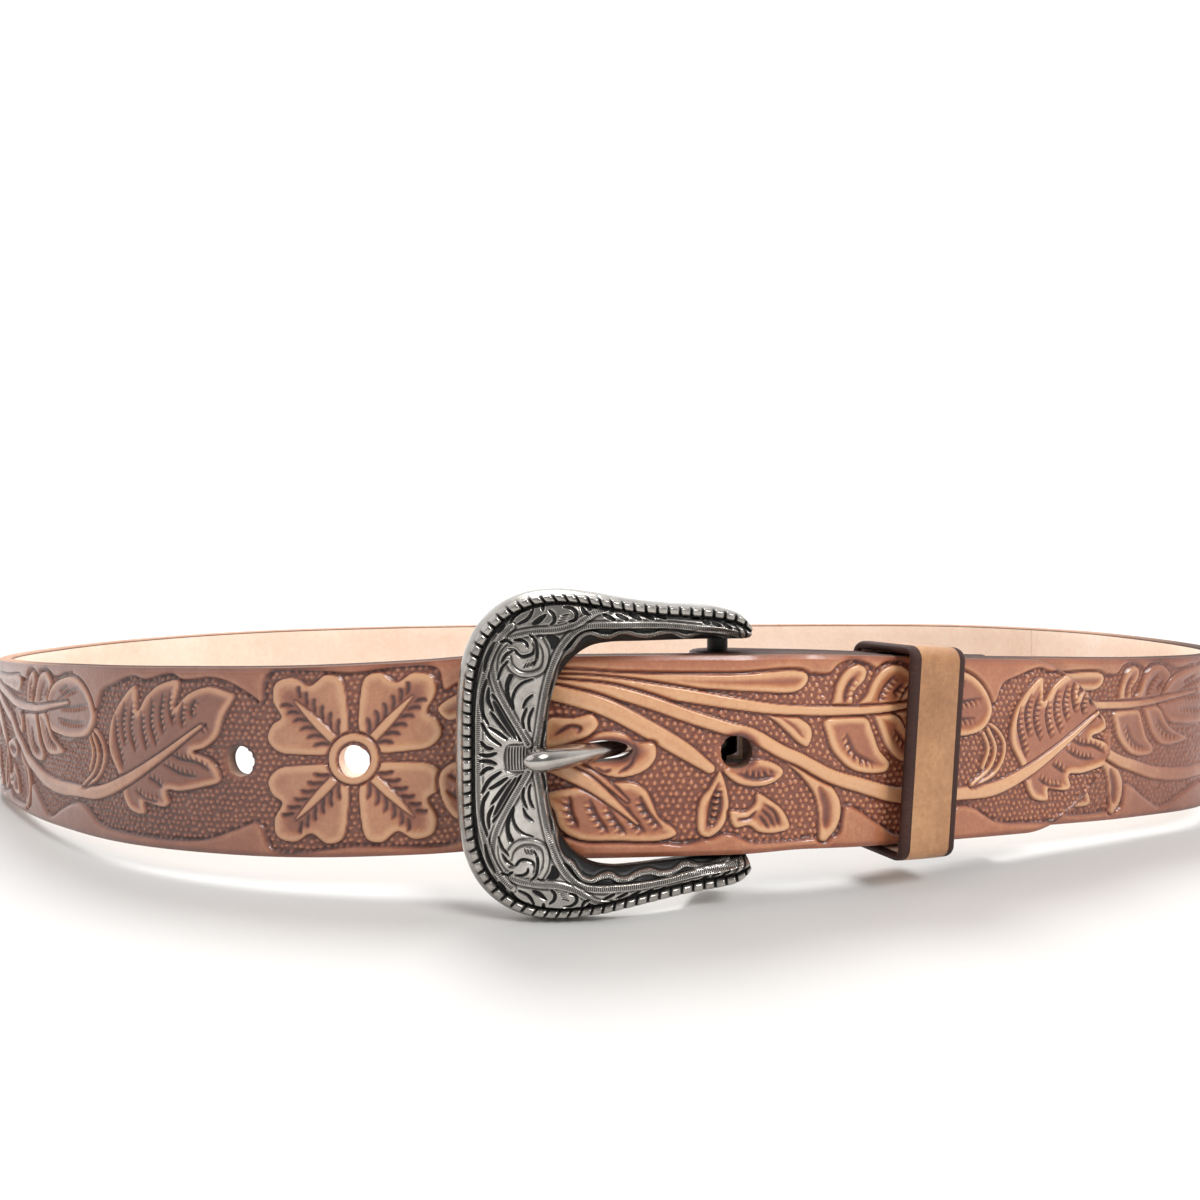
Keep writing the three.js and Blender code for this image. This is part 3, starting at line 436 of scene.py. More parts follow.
    # A branch that hangs from the middle stem and curls into a hollow loop.
    raise_band(relief, [(9, 0.4, 0.9), (12, -1.2, 1.2), (15, -3.5, 1.5), (18, -6.8, 1.8), (19.7, -10.4, 2.3),
                        (19.6, -13.8, 1.9), (18.6, -16.4, 1.0)])
    carve(relief, [(17.6, -6.6), (19.0, -10.4), (18.9, -14.8)], half=0.95, depth=0.6, tone=0.75)
    raise_band(relief, [(-31, 13.6, 0.9), (-22, 12.4, 1.2), (-15, 10.4, 1.3), (-7, 7.4, 1.3), (0, 5, 1.3),
                        (4, 3.8, 1.3), (10, 0.3, 1.3), (14, -1.5, 1.3), (20, -4.7, 1.4), (25, -6.3, 1.5),
                        (33, -8.6, 1.6), (42, -9.5, 1.6), (50, -9.3, 1.4)])
    raise_band(relief, [(-34, 12.4, 1.4), (-29, 11.4, 1.6), (-22, 9.2, 1.7), (-15, 5.4, 1.7), (-8, 1, 1.6),
                        (-3.4, -2.4, 1.0)])
    leaf_c = [(-1.6, -3.0), (-3.4, -6), (-5, -8), (-5.6, -10.4), (-5.3, -14.6), (-3.6, -15.3), (-1.2, -13.6),
              (0, -10), (-0.4, -6)]
    leaf_d = [(-1, -2.6), (1, -5), (4, -6), (7.6, -5.8), (10, -4.4), (10.3, -3.2), (8.6, -1.8), (5.6, -0.9), (2, -1.5)]
    leaf_e = [(0.2, -10.4), (3, -10.6), (4.7, -9.3), (5.2, -7.3), (8, -8.9), (10.4, -11), (11.7, -14.4), (9, -15.2),
              (5.4, -14.7), (3.6, -13.4), (1, -13.6)]
    for leaf, rib, bead in ((leaf_c, [(-1.9, -5), (-3.0, -8.6), (-3.7, -13.6)], 1),
                            (leaf_c, [(-1.5, -6.4), (-1.6, -10), (-2.8, -13.4)], -1),
                            (leaf_d, [(1.4, -3.4), (5, -4.6), (8.6, -4.2)], 1)):
        if bead == 1:
            raise_leaf(relief, leaf, dish=0.4, hollow=0.6)
        carve(relief, rib, half=0.4, depth=0.5, teeth=0.6, tooth_side=bead)
    raise_leaf(relief, leaf_e)
    for cut in ([(6.4, -9.4), (8.6, -11.2), (9.6, -13.8)], [(6.0, -10.4), (7.6, -12), (8.6, -14)],
                [(5.6, -11.6), (6.6, -12.8), (7.4, -14.2)], [(1.4, -12), (3.4, -12), (5, -10.6)]):
        carve(relief, cut, half=0.35, depth=0.4, tone=0.85)
    raise_leaf(relief, [(-26.6, 2.2), (-24, 4.3), (-21, 4.9), (-18.4, 4.2), (-16.6, 2.8), (-13.4, 2.5), (-12.9, 0.4),
                        (-14, -1.8), (-16.2, -3.2), (-19.4, -3.8), (-22, -3.4), (-24.4, -2.2), (-26, -0.4)],
               dish=0.1, hollow=0.12)
    carve(relief, [(-17, 2.6), (-16.8, 0.6), (-17.6, -1.4), (-19.8, -2.9)], half=0.4, depth=0.4)
    carve(relief, [(-24.2, -1.6), (-22.4, -2.6), (-21, -2.2)], half=0.35, depth=0.35)
    raise_leaf(relief, [(-32, 7.0), (-28, 7.3), (-24.6, 8.0), (-23.3, 6.2), (-24.8, 4.2), (-27.2, 3.0), (-33, 2.0)],
               dish=0.15, hollow=0.25)
    carve(relief, [(-31, 4.0), (-28.2, 5.8), (-26.6, 5.4), (-26.9, 4.4)], half=0.4, depth=0.45)
    raise_leaf(relief, [(-33, -7.4), (-31.2, -10), (-30, -13.4), (-27, -15.2), (-20, -15.6), (-12, -15.7),
                        (-9.3, -14.6), (-9.7, -13.5), (-12.4, -11.4), (-13.6, -8.6), (-14.8, -6.2), (-17, -4.8),
                        (-20, -4.6), (-27, -5.4)], dish=0.2, hollow=0.35)
    for cut in ([(-28.4, -7.2), (-28.2, -10), (-27, -13)], [(-25, -7.6), (-24, -10.4), (-21.6, -14)],
                [(-21.8, -8.6), (-20.6, -11.4), (-18.4, -14.2)], [(-18.2, -9), (-17.2, -11.6), (-15, -14)],
                [(-16, -7.2), (-14.8, -10), (-12, -13.4)]):
        carve(relief, cut, half=0.5, depth=0.5, teeth=0.6, tooth_side=-1)
    raise_band(relief, [(-27, -1.4, 0.5), (-22.4, -4.4, 0.6), (-18.2, -8.2, 0.3)], tone=0.3, cut=0.7)
    raise_band(relief, [(-40, 1.6, 1.6), (-30, -2.2, 1.5), (-25, -4.9, 1.3), (-20.5, -8.6, 0.8), (-16.4, -12.4, 0.3)],
               cut=0.8)
    raise_leaf(relief, [(-54, 9.4), (-51, 11.6), (-48, 12.2), (-44.8, 10.2), (-48, 8), (-52, 7)])
    raise_leaf(relief, [(-53.6, -3), (-50, -1), (-46.6, -3.4), (-46.8, -9), (-50, -12.4), (-53, -9)])
    for cut in ([(-52, -3.4), (-48, -6)], [(-52.4, -6.4), (-48.6, -9.4)]):
        carve(relief, cut, teeth=0.4)


draw_tooling(tooling)


def blurred(field, radius):
    """The field smoothed with a bell of the given radius in cells."""
    reach = int(3 * radius)
    bell = np.exp(-0.5 * (np.arange(-reach, reach + 1) / radius) ** 2)
    bell /= bell.sum()
    for axis in (0, 1):
        padded = np.pad(field, [(reach, reach) if axis == k else (0, 0) for k in (0, 1)], mode="edge")
        field = sum(w * np.take(padded, np.arange(k, k + field.shape[axis]), axis=axis) for k, w in enumerate(bell))
    return field


# Antique stain gathers in what lies low and is rubbed off what stands proud.
STAIN_REACH, STAIN_SHARE = 4.5, 0.75
lowness = blurred(tooling.height, STAIN_REACH) - tooling.height
tooling.tone = np.clip(tooling.tone + STAIN_SHARE * np.clip(lowness, -0.3, 0.5), 0, 1)


def read_tooling(q, v):
    """Height and tone of the tooling at pattern coordinate q (mm) and height v over the middle."""
    start = PATTERN_START + PATTERN_SPARE / 2
    folded = np.mod(q - start, PERIOD) + start
    return tooling.sample(tooling.height, folded, v), tooling.sample(tooling.tone, folded, v)


def make_object(name, points, faces, face_materials, materials, values=None, smooth_faces=True):
    mesh = bpy.data.meshes.new(name)
    mesh.from_pydata((np.asarray(points) * MM).tolist(), [], faces)
    mesh.validate()
    for material in materials:
        mesh.materials.append(material)
    mesh.polygons.foreach_set("material_index", np.asarray(face_materials, np.int32))
    for key, data in (values or {}).items():
        layer = mesh.attributes.new(key, "FLOAT", "POINT")
        layer.data.foreach_set("value", np.asarray(data, np.float32))
    if smooth_faces:
        mesh.shade_smooth()
        mesh.polygons.foreach_set("use_smooth", [len(face) > 3 for face in faces])
    mesh.update()
    piece = bpy.data.objects.new(name, mesh)
    bpy.context.scene.collection.objects.link(piece)
    return piece


def ring_faces(columns, rows, closed=False):
    """Faces of a tube of rings, one ring a column, and the row that each face starts on."""
    last = columns if closed else columns - 1
    a = np.arange(last)[:, None] * rows + np.arange(rows)[None, :]
    b = np.arange(last)[:, None] * rows + (np.arange(rows)[None, :] + 1) % rows
    over = ((np.arange(last) + 1) % columns)[:, None] * rows
    c = over + (np.arange(rows)[None, :] + 1) % rows
    d = over + np.arange(rows)[None, :]
    faces = np.stack([a, b, c, d], -1).reshape(-1, 4)
    return faces.tolist(), np.tile(np.arange(rows), last)


def cap_faces(points, faces, rows, columns):
    """Closes both ends of a tube with fans, and gives the new points."""
    ends = []
    for first, flip in ((0, True), ((columns - 1) * rows, False)):
        centre = len(points) + len(ends)
        ends.append(points[first:first + rows].mean(0))
        for i in range(rows):
            a, b = first + i, first + (i + 1) % rows
            faces.append([b, a, centre] if flip else [a, b, centre])
    return np.vstack([points, ends])


def coordinates(mesh):
    flat = np.empty(len(mesh.vertices) * 3)
    mesh.vertices.foreach_get("co", flat)
    return flat.reshape(-1, 3)


def cut_away(piece, cutters, material_index):
    """Takes the cutters out of a piece. New points take the values of the nearest old one."""
    mesh = piece.data
    stored = {}
    for key in ("tone", "painted_warmth"):
        stored[key] = np.empty(len(mesh.vertices), np.float32)
        mesh.attributes[key].data.foreach_get("value", stored[key])
    for cutter in cutters:
        for material in mesh.materials:
            cutter.data.materials.append(material)
        cutter.data.polygons.foreach_set("material_index", [material_index] * len(cutter.data.polygons))
        modifier = piece.modifiers.new("cut", "BOOLEAN")
        modifier.operation = "DIFFERENCE"
        modifier.solver = "MANIFOLD"
        modifier.object = cutter
    graph = bpy.context.evaluated_depsgraph_get()
    cut = bpy.data.meshes.new_from_object(piece.evaluated_get(graph), preserve_all_data_layers=True, depsgraph=graph)
    piece.modifiers.clear()
    if len(cut.polygons) < 0.8 * len(mesh.polygons):
        print("the cut failed on", piece.name, len(mesh.polygons), len(cut.polygons))
    tree = KDTree(len(mesh.vertices))
    for i, p in enumerate(coordinates(mesh)):
        tree.insert(p, i)
    tree.balance()
    nearest = [tree.find(p)[1] for p in coordinates(cut)]
    for key, data in stored.items():
        if key in cut.attributes:
            cut.attributes.remove(cut.attributes[key])
        layer = cut.attributes.new(key, "FLOAT", "POINT")
        layer.data.foreach_set("value", data[nearest])
    cut.shade_smooth()
    piece.data = cut
    bpy.data.meshes.remove(mesh)
    for cutter in cutters:
        data = cutter.data
        bpy.data.objects.remove(cutter)
        bpy.data.meshes.remove(data)
    # The rim of each cut stays crisp.
    mark = bmesh.new()
    mark.from_mesh(cut)
    for edge in mark.edges:
        if len(edge.link_faces) == 2:
            first, second = edge.link_faces
            if first.material_index != second.material_index and material_index in (
                    first.material_index, second.material_index):
                edge.smooth = first.normal.dot(second.normal) > 0.75
    mark.to_mesh(cut)
    mark.free()


def joined(points, faces, more_points, more_faces):
    """Adds the faces of a second closed shape to a first one's, and gives the points of both."""
    faces += [[len(points) + v for v in face] for face in more_faces]
    return np.vstack([points, more_points])


def strap_frame(distance, offset, height):
    """A matrix whose X runs along the strap and its slope, Y inward through it and Z up."""
    span = 6.0
    n = loop_outward(distance)
    p = loop_point(distance) + n * offset
    slope = (strap_middle(distance + span) - strap_middle(distance - span)) / (2 * span)
    along = Vector((-n[1], n[0], slope)).normalized()
    inward = Vector((-n[0], -n[1], 0))
    up = along.cross(inward)
    turn = Matrix((along, inward, up)).transposed().to_4x4()
    return Matrix.Translation(Vector((p[0], p[1], height))) @ turn


def oval_cutter(matrix, length, tall, depth, shift=0.0, ragged=0.0):
    """A closed oval post, its axis along the matrix's Y, in millimetres."""
    sides = 56
    angle = np.linspace(0, 2 * math.pi, sides, endpoint=False)
    wobble = 1 + ragged * (np.sin(3 * angle + 1.3) + 0.6 * np.sin(5 * angle))
    across, up = length / 2 * wobble * np.cos(angle), tall / 2 * wobble * np.sin(angle)
    points = [tuple(matrix @ Vector((x, y, z))) for y in (shift - depth / 2, shift + depth / 2)
              for x, z in zip(across, up)]
    faces = [[k, k + sides, (k + 1) % sides + sides, (k + 1) % sides] for k in range(sides)]
    faces.append(list(range(sides)))
    faces.append(list(range(2 * sides - 1, sides - 1, -1)))
    return make_object("cutter", np.array(points), faces, [0] * len(faces), [], smooth_faces=False)


def box_cutter(matrix, low, high):
    corners = [(x, y, z) for z in (low[2], high[2]) for y in (low[1], high[1]) for x in (low[0], high[0])]
    points = np.array([tuple(matrix @ Vector(c)) for c in corners])
    faces = [[0, 2, 3, 1], [4, 5, 7, 6], [0, 1, 5, 4], [2, 6, 7, 3], [0, 4, 6, 2], [1, 3, 7, 5]]
    return make_object("cutter", points, faces, [0] * 6, [], smooth_faces=False)


class Nodes:
    """A small helper that adds shader nodes to one material. A pair (node, output) stands for a node's output."""

    def __init__(self, name):
        self.material = bpy.data.materials.new(name)
        self.material.use_nodes = True
        self.tree = self.material.node_tree
        self.tree.nodes.clear()
        out = self.tree.nodes.new("ShaderNodeOutputMaterial")
        self.shader = self.add("ShaderNodeBsdfPrincipled")
        self.feed(out.inputs["Surface"], (self.shader, "BSDF"))
        self.coordinates = self.add("ShaderNodeTexCoord"), "Object"

    def add(self, kind, **values):
        node = self.tree.nodes.new(kind)
        for key, value in values.items():
            setattr(node, key, value)
        return node

    def feed(self, socket, value):
        """Links a node's output to a socket, or sets a number or a colour of 0 to 255 on it."""
        if not isinstance(value, tuple):
            socket.default_value = value
        elif isinstance(value[0], (int, float)):
            socket.default_value = (*[linear(c) for c in value], 1)
        else:
            self.tree.links.new(value[0].outputs[value[1]], socket)

    def set(self, name, value):
        self.feed(self.shader.inputs[name], value)

    def attribute(self, name):
        return self.add("ShaderNodeAttribute", attribute_name=name), "Fac"

    def noise(self, scale, detail=4.0, roughness=0.55, distortion=0.0, stretch=None):
        node = self.add("ShaderNodeTexNoise")
        for name, value in (("Scale", scale), ("Detail", detail), ("Roughness", roughness), ("Distortion", distortion)):
            node.inputs[name].default_value = value
        place = self.coordinates
        if stretch is not None:
            mapping = self.add("ShaderNodeMapping")
            mapping.inputs["Scale"].default_value = stretch
            self.feed(mapping.inputs["Vector"], place)
            place = mapping, "Vector"
        self.feed(node.inputs["Vector"], place)
        return node, "Fac"

    def cells(self, scale):
        node = self.add("ShaderNodeTexVoronoi")
        node.inputs["Scale"].default_value = scale
        self.feed(node.inputs["Vector"], self.coordinates)
        return node, "Distance"

    def math(self, operation, *values, clamp=False):
        node = self.add("ShaderNodeMath", operation=operation, use_clamp=clamp)
        for socket, value in zip(node.inputs, values):
            self.feed(socket, value)
        return node, "Value"

    def ramp(self, source, stops):
        node = self.add("ShaderNodeValToRGB")
        elements = node.color_ramp.elements
        elements.remove(elements[-1])
        for i, (at, colour) in enumerate(stops):
            element = elements[0] if i == 0 else elements.new(at)
            element.position = at
            element.color = (*[linear(c) for c in colour], 1)
        self.feed(node.inputs["Fac"], source)
        return node, "Color"

    def mix(self, factor, a, b):
        node = self.add("ShaderNodeMix", data_type="RGBA")
        for socket, value in ((0, factor), (6, a), (7, b)):
            self.feed(node.inputs[socket], value)
        return node, 2

    def bump(self, height, strength, distance, below=None, invert=False):
        node = self.add("ShaderNodeBump", invert=invert)
        node.inputs["Strength"].default_value = strength
        node.inputs["Distance"].default_value = distance
        self.feed(node.inputs["Height"], height)
        if below is not None:
            self.feed(node.inputs["Normal"], below)
        return node, "Normal"


def linear(c):
    """A colour channel of 0 to 255 as linear light."""
    c = c / 255
    return c / 12.92 if c <= 0.04045 else ((c + 0.055) / 1.055) ** 2.4


def tooled_leather():
    m = Nodes("tooled_leather")
    tone = m.attribute("tone")
    painted_warmth = m.attribute("painted_warmth")
    blotch = m.noise(28, 5, 0.6)
    mottle = m.noise(160, 6, 0.65, 0.6)
    grain = m.noise(1300, 5, 0.7)
    pores = m.cells(1500)
    shade = m.math("MULTIPLY_ADD", m.math("SUBTRACT", mottle, 0.5), 0.34, tone)
    shade = m.math("MULTIPLY_ADD", m.math("SUBTRACT", blotch, 0.5), 0.3, shade)
    shade = m.math("MULTIPLY_ADD", m.math("SUBTRACT", grain, 0.5), 0.3, shade, clamp=True)
    # Painted light: the orange and the mauve ramps are one stain under warm and dull light, mixed by the warmth value
    # along the strap.
    orange = m.ramp(shade, [(0.0, (220, 168, 124)), (0.18, (203, 143, 101)), (0.38, (175, 108, 75)),
                            (0.62, (146, 84, 60)), (0.85, (112, 60, 45)), (1.0, (76, 39, 31))])
    mauve = m.ramp(shade, [(0.0, (180, 132, 104)), (0.18, (158, 108, 85)), (0.38, (133, 84, 67)),
                           (0.62, (112, 68, 56)), (0.85, (84, 50, 43)), (1.0, (58, 34, 30))])
    colour = m.mix(painted_warmth, mauve, orange)
    m.set("Base Color", colour)
    gloss = m.math("MULTIPLY_ADD", shade, 0.16, m.math("MULTIPLY_ADD", mottle, 0.3, 0.2))
    m.set("Roughness", gloss)
    m.set("Specular IOR Level", 0.5)
    m.set("Coat Weight", 0.5)
    m.set("Coat Roughness", 0.14)
    coarse = m.bump(mottle, 0.25, 0.0004)
    fine = m.bump(grain, 0.3, 0.00012, coarse)
    m.set("Normal", m.bump(pores, 0.25, 0.00008, fine))
    return m.material


def edge_leather():
    """Cut edges: dyed dark where the tone is high, bare leather where it is low."""
    m = Nodes("cut_edge")
    fibre = m.noise(700, 6, 0.7, stretch=(1, 1, 3))
    blotch = m.noise(120, 4)
    grain = m.math("MULTIPLY_ADD", blotch, 0.4, m.math("MULTIPLY", fibre, 0.6))
    bare = m.ramp(grain, [(0.3, (178, 130, 104)), (0.55, (208, 164, 136)), (0.8, (228, 194, 168))])
    dyed = m.ramp(grain, [(0.3, (40, 22, 18)), (0.55, (62, 34, 27)), (0.8, (92, 56, 42))])
    m.set("Base Color", m.mix(m.attribute("tone"), bare, dyed))
    m.set("Roughness", m.math("MULTIPLY_ADD", fibre, 0.3, 0.42))
    m.set("Specular IOR Level", 0.3)
    m.set("Normal", m.bump(fibre, 0.5, 0.0003))
    return m.material


def flesh_leather():
    m = Nodes("flesh_side")
    fibre = m.noise(520, 8, 0.75, 0.8)
    blotch = m.noise(30, 5, 0.6)
    m.set("Base Color", m.ramp(m.math("MULTIPLY_ADD", blotch, 0.55, m.math("MULTIPLY", fibre, 0.45)),
                               [(0.25, (228, 192, 166)), (0.5, (246, 216, 194)), (0.75, (253, 236, 222))]))
    m.set("Roughness", m.math("MULTIPLY_ADD", fibre, 0.2, 0.62))
    m.set("Normal", m.bump(fibre, 0.5, 0.0004))
    return m.material


def keeper_leather():
    m = Nodes("keeper_face")
    blotch = m.noise(60, 5, 0.6)
    grain = m.noise(900, 6, 0.7)
    shade = m.math("MULTIPLY_ADD", grain, 0.35, m.math("MULTIPLY", blotch, 0.65))
    m.set("Base Color", m.ramp(shade, [(0.34, (146, 98, 62)), (0.5, (176, 125, 82)), (0.66, (200, 152, 106))]))
    m.set("Roughness", m.math("MULTIPLY_ADD", grain, 0.25, 0.3))
    m.set("Coat Weight", 0.2)
    m.set("Coat Roughness", 0.3)
    m.set("Normal", m.bump(grain, 0.35, 0.0002))
    return m.material


HATCH_PITCH = 0.36


def antique_silver():
    m = Nodes("antique_silver")
    # The soot value darkens the metal: blackening in the hollows, and painted shade on the buckle's groove, top and rim
    # flanks.
    soot_and_shade = m.attribute("soot_and_shade")
    hatch = m.attribute("hatch")
    run = m.attribute("run")
    wear = m.noise(260, 5, 0.6)
    fine = m.noise(2400, 4, 0.6)
    comb = m.math("SINE", m.math("MULTIPLY", run, 2 * math.pi / HATCH_PITCH))
    lines = m.math("MULTIPLY", m.math("MULTIPLY_ADD", comb, 0.5, 0.5), hatch, clamp=True)
    dark = m.math("MAXIMUM", m.math("MULTIPLY_ADD", m.math("SUBTRACT", wear, 0.5), 0.5, soot_and_shade, clamp=True),
                  m.math("MULTIPLY", lines, 0.85))
    m.set("Base Color", m.ramp(dark, [(0.0, (206, 202, 196)), (0.22, (168, 163, 157)), (0.5, (92, 88, 84)),
                                      (0.75, (38, 36, 34)), (1.0, (13, 12, 12))]))
    m.set("Metallic", m.math("SUBTRACT", 1.0, m.math("MULTIPLY", dark, 0.6)))
    m.set("Roughness", m.math("MULTIPLY_ADD", dark, 0.28, m.math("MULTIPLY_ADD", wear, 0.12, 0.12)))
    cut_in = m.bump(lines, 0.6, 0.0001, invert=True)
    m.set("Normal", m.bump(fine, 0.12, 0.00006, cut_in))
    return m.material


def polished_silver(name, rough):
    m = Nodes(name)
    smear = m.noise(140, 5, 0.6)
    fine = m.noise(1800, 5, 0.7, stretch=(0.25, 1, 1))
    bright = m.ramp(smear, [(0.3, (160, 154, 148)), (0.6, (196, 190, 184))])
    # The soot value mixes in near black: painted shade on the prong's shank and eye.
    m.set("Base Color", m.mix(m.attribute("soot_and_shade"), bright, (34, 31, 29)))
    m.set("Metallic", 1.0)
    m.set("Roughness", m.math("MULTIPLY_ADD", smear, 0.14, rough))
    m.set("Normal", m.bump(fine, 0.1, 0.00006))
    return m.material


TOOLED, EDGE, FLESH = tooled_leather(), edge_leather(), flesh_leather()
STRAP_MATERIALS = [TOOLED, EDGE, FLESH]
ON_FACE, ON_EDGE, ON_FLESH = 0, 1, 2

# The strap, in four stretches that meet out of sight or end to end.
EDGE_RADIUS = 0.9
EDGE_DROP = 0.25
EDGE_START = 0.6
EDGE_ROWS = 5
INNER_ROWS = 10
HOLE_RING_DEPTH = 0.38


def strap_section(outer_rows):
    """Shares of the ring: (share of the half width, rounding, side) for each row."""
    rows = [(u, 0.0, "outer") for u in np.linspace(-1, 1, outer_rows)]
    rows += [(1.0, a, "top") for a in np.linspace(0, math.pi, EDGE_ROWS + 2)[1:-1]]
    rows += [(u, math.pi, "inner") for u in np.linspace(1, -1, INNER_ROWS)]
    rows += [(-1.0, a, "bottom") for a in np.linspace(math.pi, 0, EDGE_ROWS + 2)[1:-1]]
    return rows


def path_normals(place):
    """Unit vectors to the right of a path in plan, which is outward for the strap."""
    step = np.gradient(place, axis=0)
    step /= np.linalg.norm(step, axis=1, keepdims=True)
    return np.stack([step[:, 1], -step[:, 0]], -1)


def make_strap(name, place, normal, middle, half_width, pattern, weight, painted_warmth, outer_rows, contrast, dyed, holes=(),
               stain=0.0):
    """A stretch of strap along points in plan, with the tooling pressed into its outer face."""
    columns = len(place)
    rows = strap_section(outer_rows)
    count = len(rows)
    points = np.zeros((columns, count, 3))
    tone = np.zeros((columns, count))
    kinds = []
    flat = half_width - EDGE_RADIUS
    for r, (u, turn, side) in enumerate(rows):
        if side == "outer":
            v = u * flat
            height, shade = read_tooling(pattern, v)
            near_edge = smooth(half_width - np.abs(v), EDGE_RADIUS * 0.9, EDGE_RADIUS + 0.6)
            out = HALF_THICKNESS + height * weight * near_edge - EDGE_DROP * (1 - near_edge) ** 2
            shade = PLAIN + (shade - PLAIN) * weight * contrast + 0.16 * (1 - near_edge) + stain
            for d, up, long, tall, ring in holes:
                gap = (np.hypot((pattern - d) / long, (v - up) / tall) - 1) * min(long, tall)
                rim = np.exp(-(np.clip(gap, 0, None) / ring) ** 2)
                out = out - HOLE_RING_DEPTH * rim * (gap < 4 * ring)
                worn = smooth((d - pattern) + (up - v), -2, 4)
                shade = shade + ((0.92 - 0.5 * worn) - shade) * np.clip(rim * 1.1, 0, 1)
            tone[:, r] = shade
        elif side == "inner":
            v = u * flat
            out = np.full(columns, -HALF_THICKNESS)
            tone[:, r] = 1
        else:
            v = np.sign(u) * (flat + EDGE_RADIUS * math.sin(turn) ** 0.7)
            out = np.full(columns, (HALF_THICKNESS - EDGE_DROP) * math.cos(turn))
            tone[:, r] = 0.6 * dyed + stain if turn < EDGE_START else dyed
        points[:, r, :2] = place + normal * out[:, None]
        points[:, r, 2] = middle + v
        kinds.append({"outer": ON_FACE, "inner": ON_FLESH}.get(side, ON_EDGE) if turn > EDGE_START else ON_FACE)
    faces, starts = ring_faces(columns, count)
    kinds = np.array(kinds)
    by_row = np.where((kinds == ON_EDGE) | (np.roll(kinds, -1) == ON_EDGE), ON_EDGE, kinds)
    indices = list(by_row[starts])
    closed = cap_faces(points.reshape(-1, 3), faces, count, columns)
    indices += [ON_EDGE] * (len(faces) - len(indices))
    tones = np.concatenate([tone.reshape(-1), dyed[[0, -1]]])
    warms = np.concatenate([np.repeat(painted_warmth, count), painted_warmth[[0, -1]]])
    return make_object(name, closed, faces, indices, STRAP_MATERIALS, {"tone": tones, "painted_warmth": warms})


def warmth(d):
    """How orange the leather is drawn along the strap: warmest from the bar to the tip, a darker, greyer mauve
    elsewhere. This is painted light on one stain.
    """
    return 0.05 + 0.95 * smooth(d, -120, -10) * (1 - 0.5 * smooth(d, 70, 130))


def crispness(d):
    """How strongly the stain brings out the tooling: less towards the sides of the loop."""
    return 0.5 + 0.5 * smooth(d, -190, -110) * (1 - smooth(d, 92, 125))


def tip_half_width(d):
    x = np.clip((TIP_DISTANCE - d) / TIP_LENGTH, 0, 1)
    share = (1 - (1 - x) ** TIP_ROUNDNESS) ** (1 / TIP_ROUNDNESS)
    return np.maximum(TIP_END_HALF_WIDTH, share * HALF_WIDTH)


SEAM_LEFT = -224.0
SEAM_BUCKLE = -40.0
SEAM_RIGHT = 250.0
FINE = full_or_quick(0.25)
LEFT_SPACING, RIGHT_SPACING, BACK_SPACING = FINE * 1.28, FINE * 1.68, full_or_quick(0.62)
OUTER_ROWS, RIGHT_ROWS, BACK_ROWS = full_or_quick(146), full_or_quick(112), full_or_quick(80)


# The holes in the free end, by their distance from the bar, and the worn ring round those that show.
HOLE = 6.2
PRONG_HOLE, PRONG_HOLE_LONG, PRONG_HOLE_TALL = -22.2, 10.2, 4.0
NEXT_HOLE = 1.6
LEFT_HOLES = (-47.9, -70.525, -94.4)
HOLE_RISE = 0.5 * STRAP_DROP
RING, RING_WIDTH = HOLE / 2, 0.7


# How far from the bar the dye on the cut edges fades towards the back, and how much of it goes.
DYE_FADE_LEFT, DYE_FADE_RIGHT, DYE_LOSS = (140, 200), (150, 245), 0.85


def middle_at(d):
    return float(strap_middle(d))


def free_end_stretch(name, d, holes):
    n = loop_outward(d)
    place = loop_point(d) + n * free_end_offset(d)[:, None]
    return make_strap(
        name, place, path_normals(place), strap_middle(d), tip_half_width(d), d, smooth(TIP_DISTANCE - d, 0.2, 2.2),
        warmth(d), OUTER_ROWS, crispness(d), 1 - DYE_LOSS * smooth(-d, *DYE_FADE_LEFT), holes)


left_step = (SEAM_BUCKLE - SEAM_LEFT) / round((SEAM_BUCKLE - SEAM_LEFT) / LEFT_SPACING)
left_line = np.arange(SEAM_LEFT, SEAM_BUCKLE + FINE / 2, left_step)
strap_left = free_end_stretch("strap_left", left_line, [(LEFT_HOLES[2], 0.0, RING, RING, RING_WIDTH)])

TIP_FINE = 4.0
tip_start = TIP_DISTANCE - TIP_FINE
free_line = np.concatenate([
    np.linspace(SEAM_BUCKLE, tip_start, int((tip_start - SEAM_BUCKLE) / FINE)),
    TIP_DISTANCE - TIP_FINE * np.cos(np.linspace(0, math.pi / 2, 24))[1:],
])
strap_free_end = free_end_stretch("strap_free_end", free_line, [
    (PRONG_HOLE, BUCKLE_MIDDLE - middle_at(PRONG_HOLE), PRONG_HOLE_LONG / 2, PRONG_HOLE_TALL / 2, RING_WIDTH),
    (NEXT_HOLE, HOLE_RISE, RING, RING, 0.8),
])

# The tab, the fold round the bar and the bar layer make one stretch.
fold_angle = np.linspace(0, math.pi, 26)[1:-1]
tab = np.linspace(TAB_LENGTH, 0, 110)
bar_layer = np.linspace(0, SEAM_RIGHT, int(SEAM_RIGHT / RIGHT_SPACING))
bar_point, bar_outward = loop_point(0.0), loop_outward(0.0)
bar_along = np.array([-bar_outward[1], bar_outward[0]])
place = np.vstack([
    loop_point(tab) - loop_outward(tab) * bar_layer_offset(tab)[:, None],
    bar_point - FOLD_RADIUS * (np.sin(fold_angle)[:, None] * bar_along + np.cos(fold_angle)[:, None] * bar_outward),
    loop_point(bar_layer) + loop_outward(bar_layer) * bar_layer_offset(bar_layer)[:, None],
])
distance = np.concatenate([tab, np.zeros(len(fold_angle)), bar_layer])
on_bar_layer = np.concatenate([np.zeros(len(tab) + len(fold_angle)),
                               smooth(bar_layer, 6, 14) * (1 - 0.3 * smooth(bar_layer, 92, 120))])
RIGHT_SHIFT = 82.0
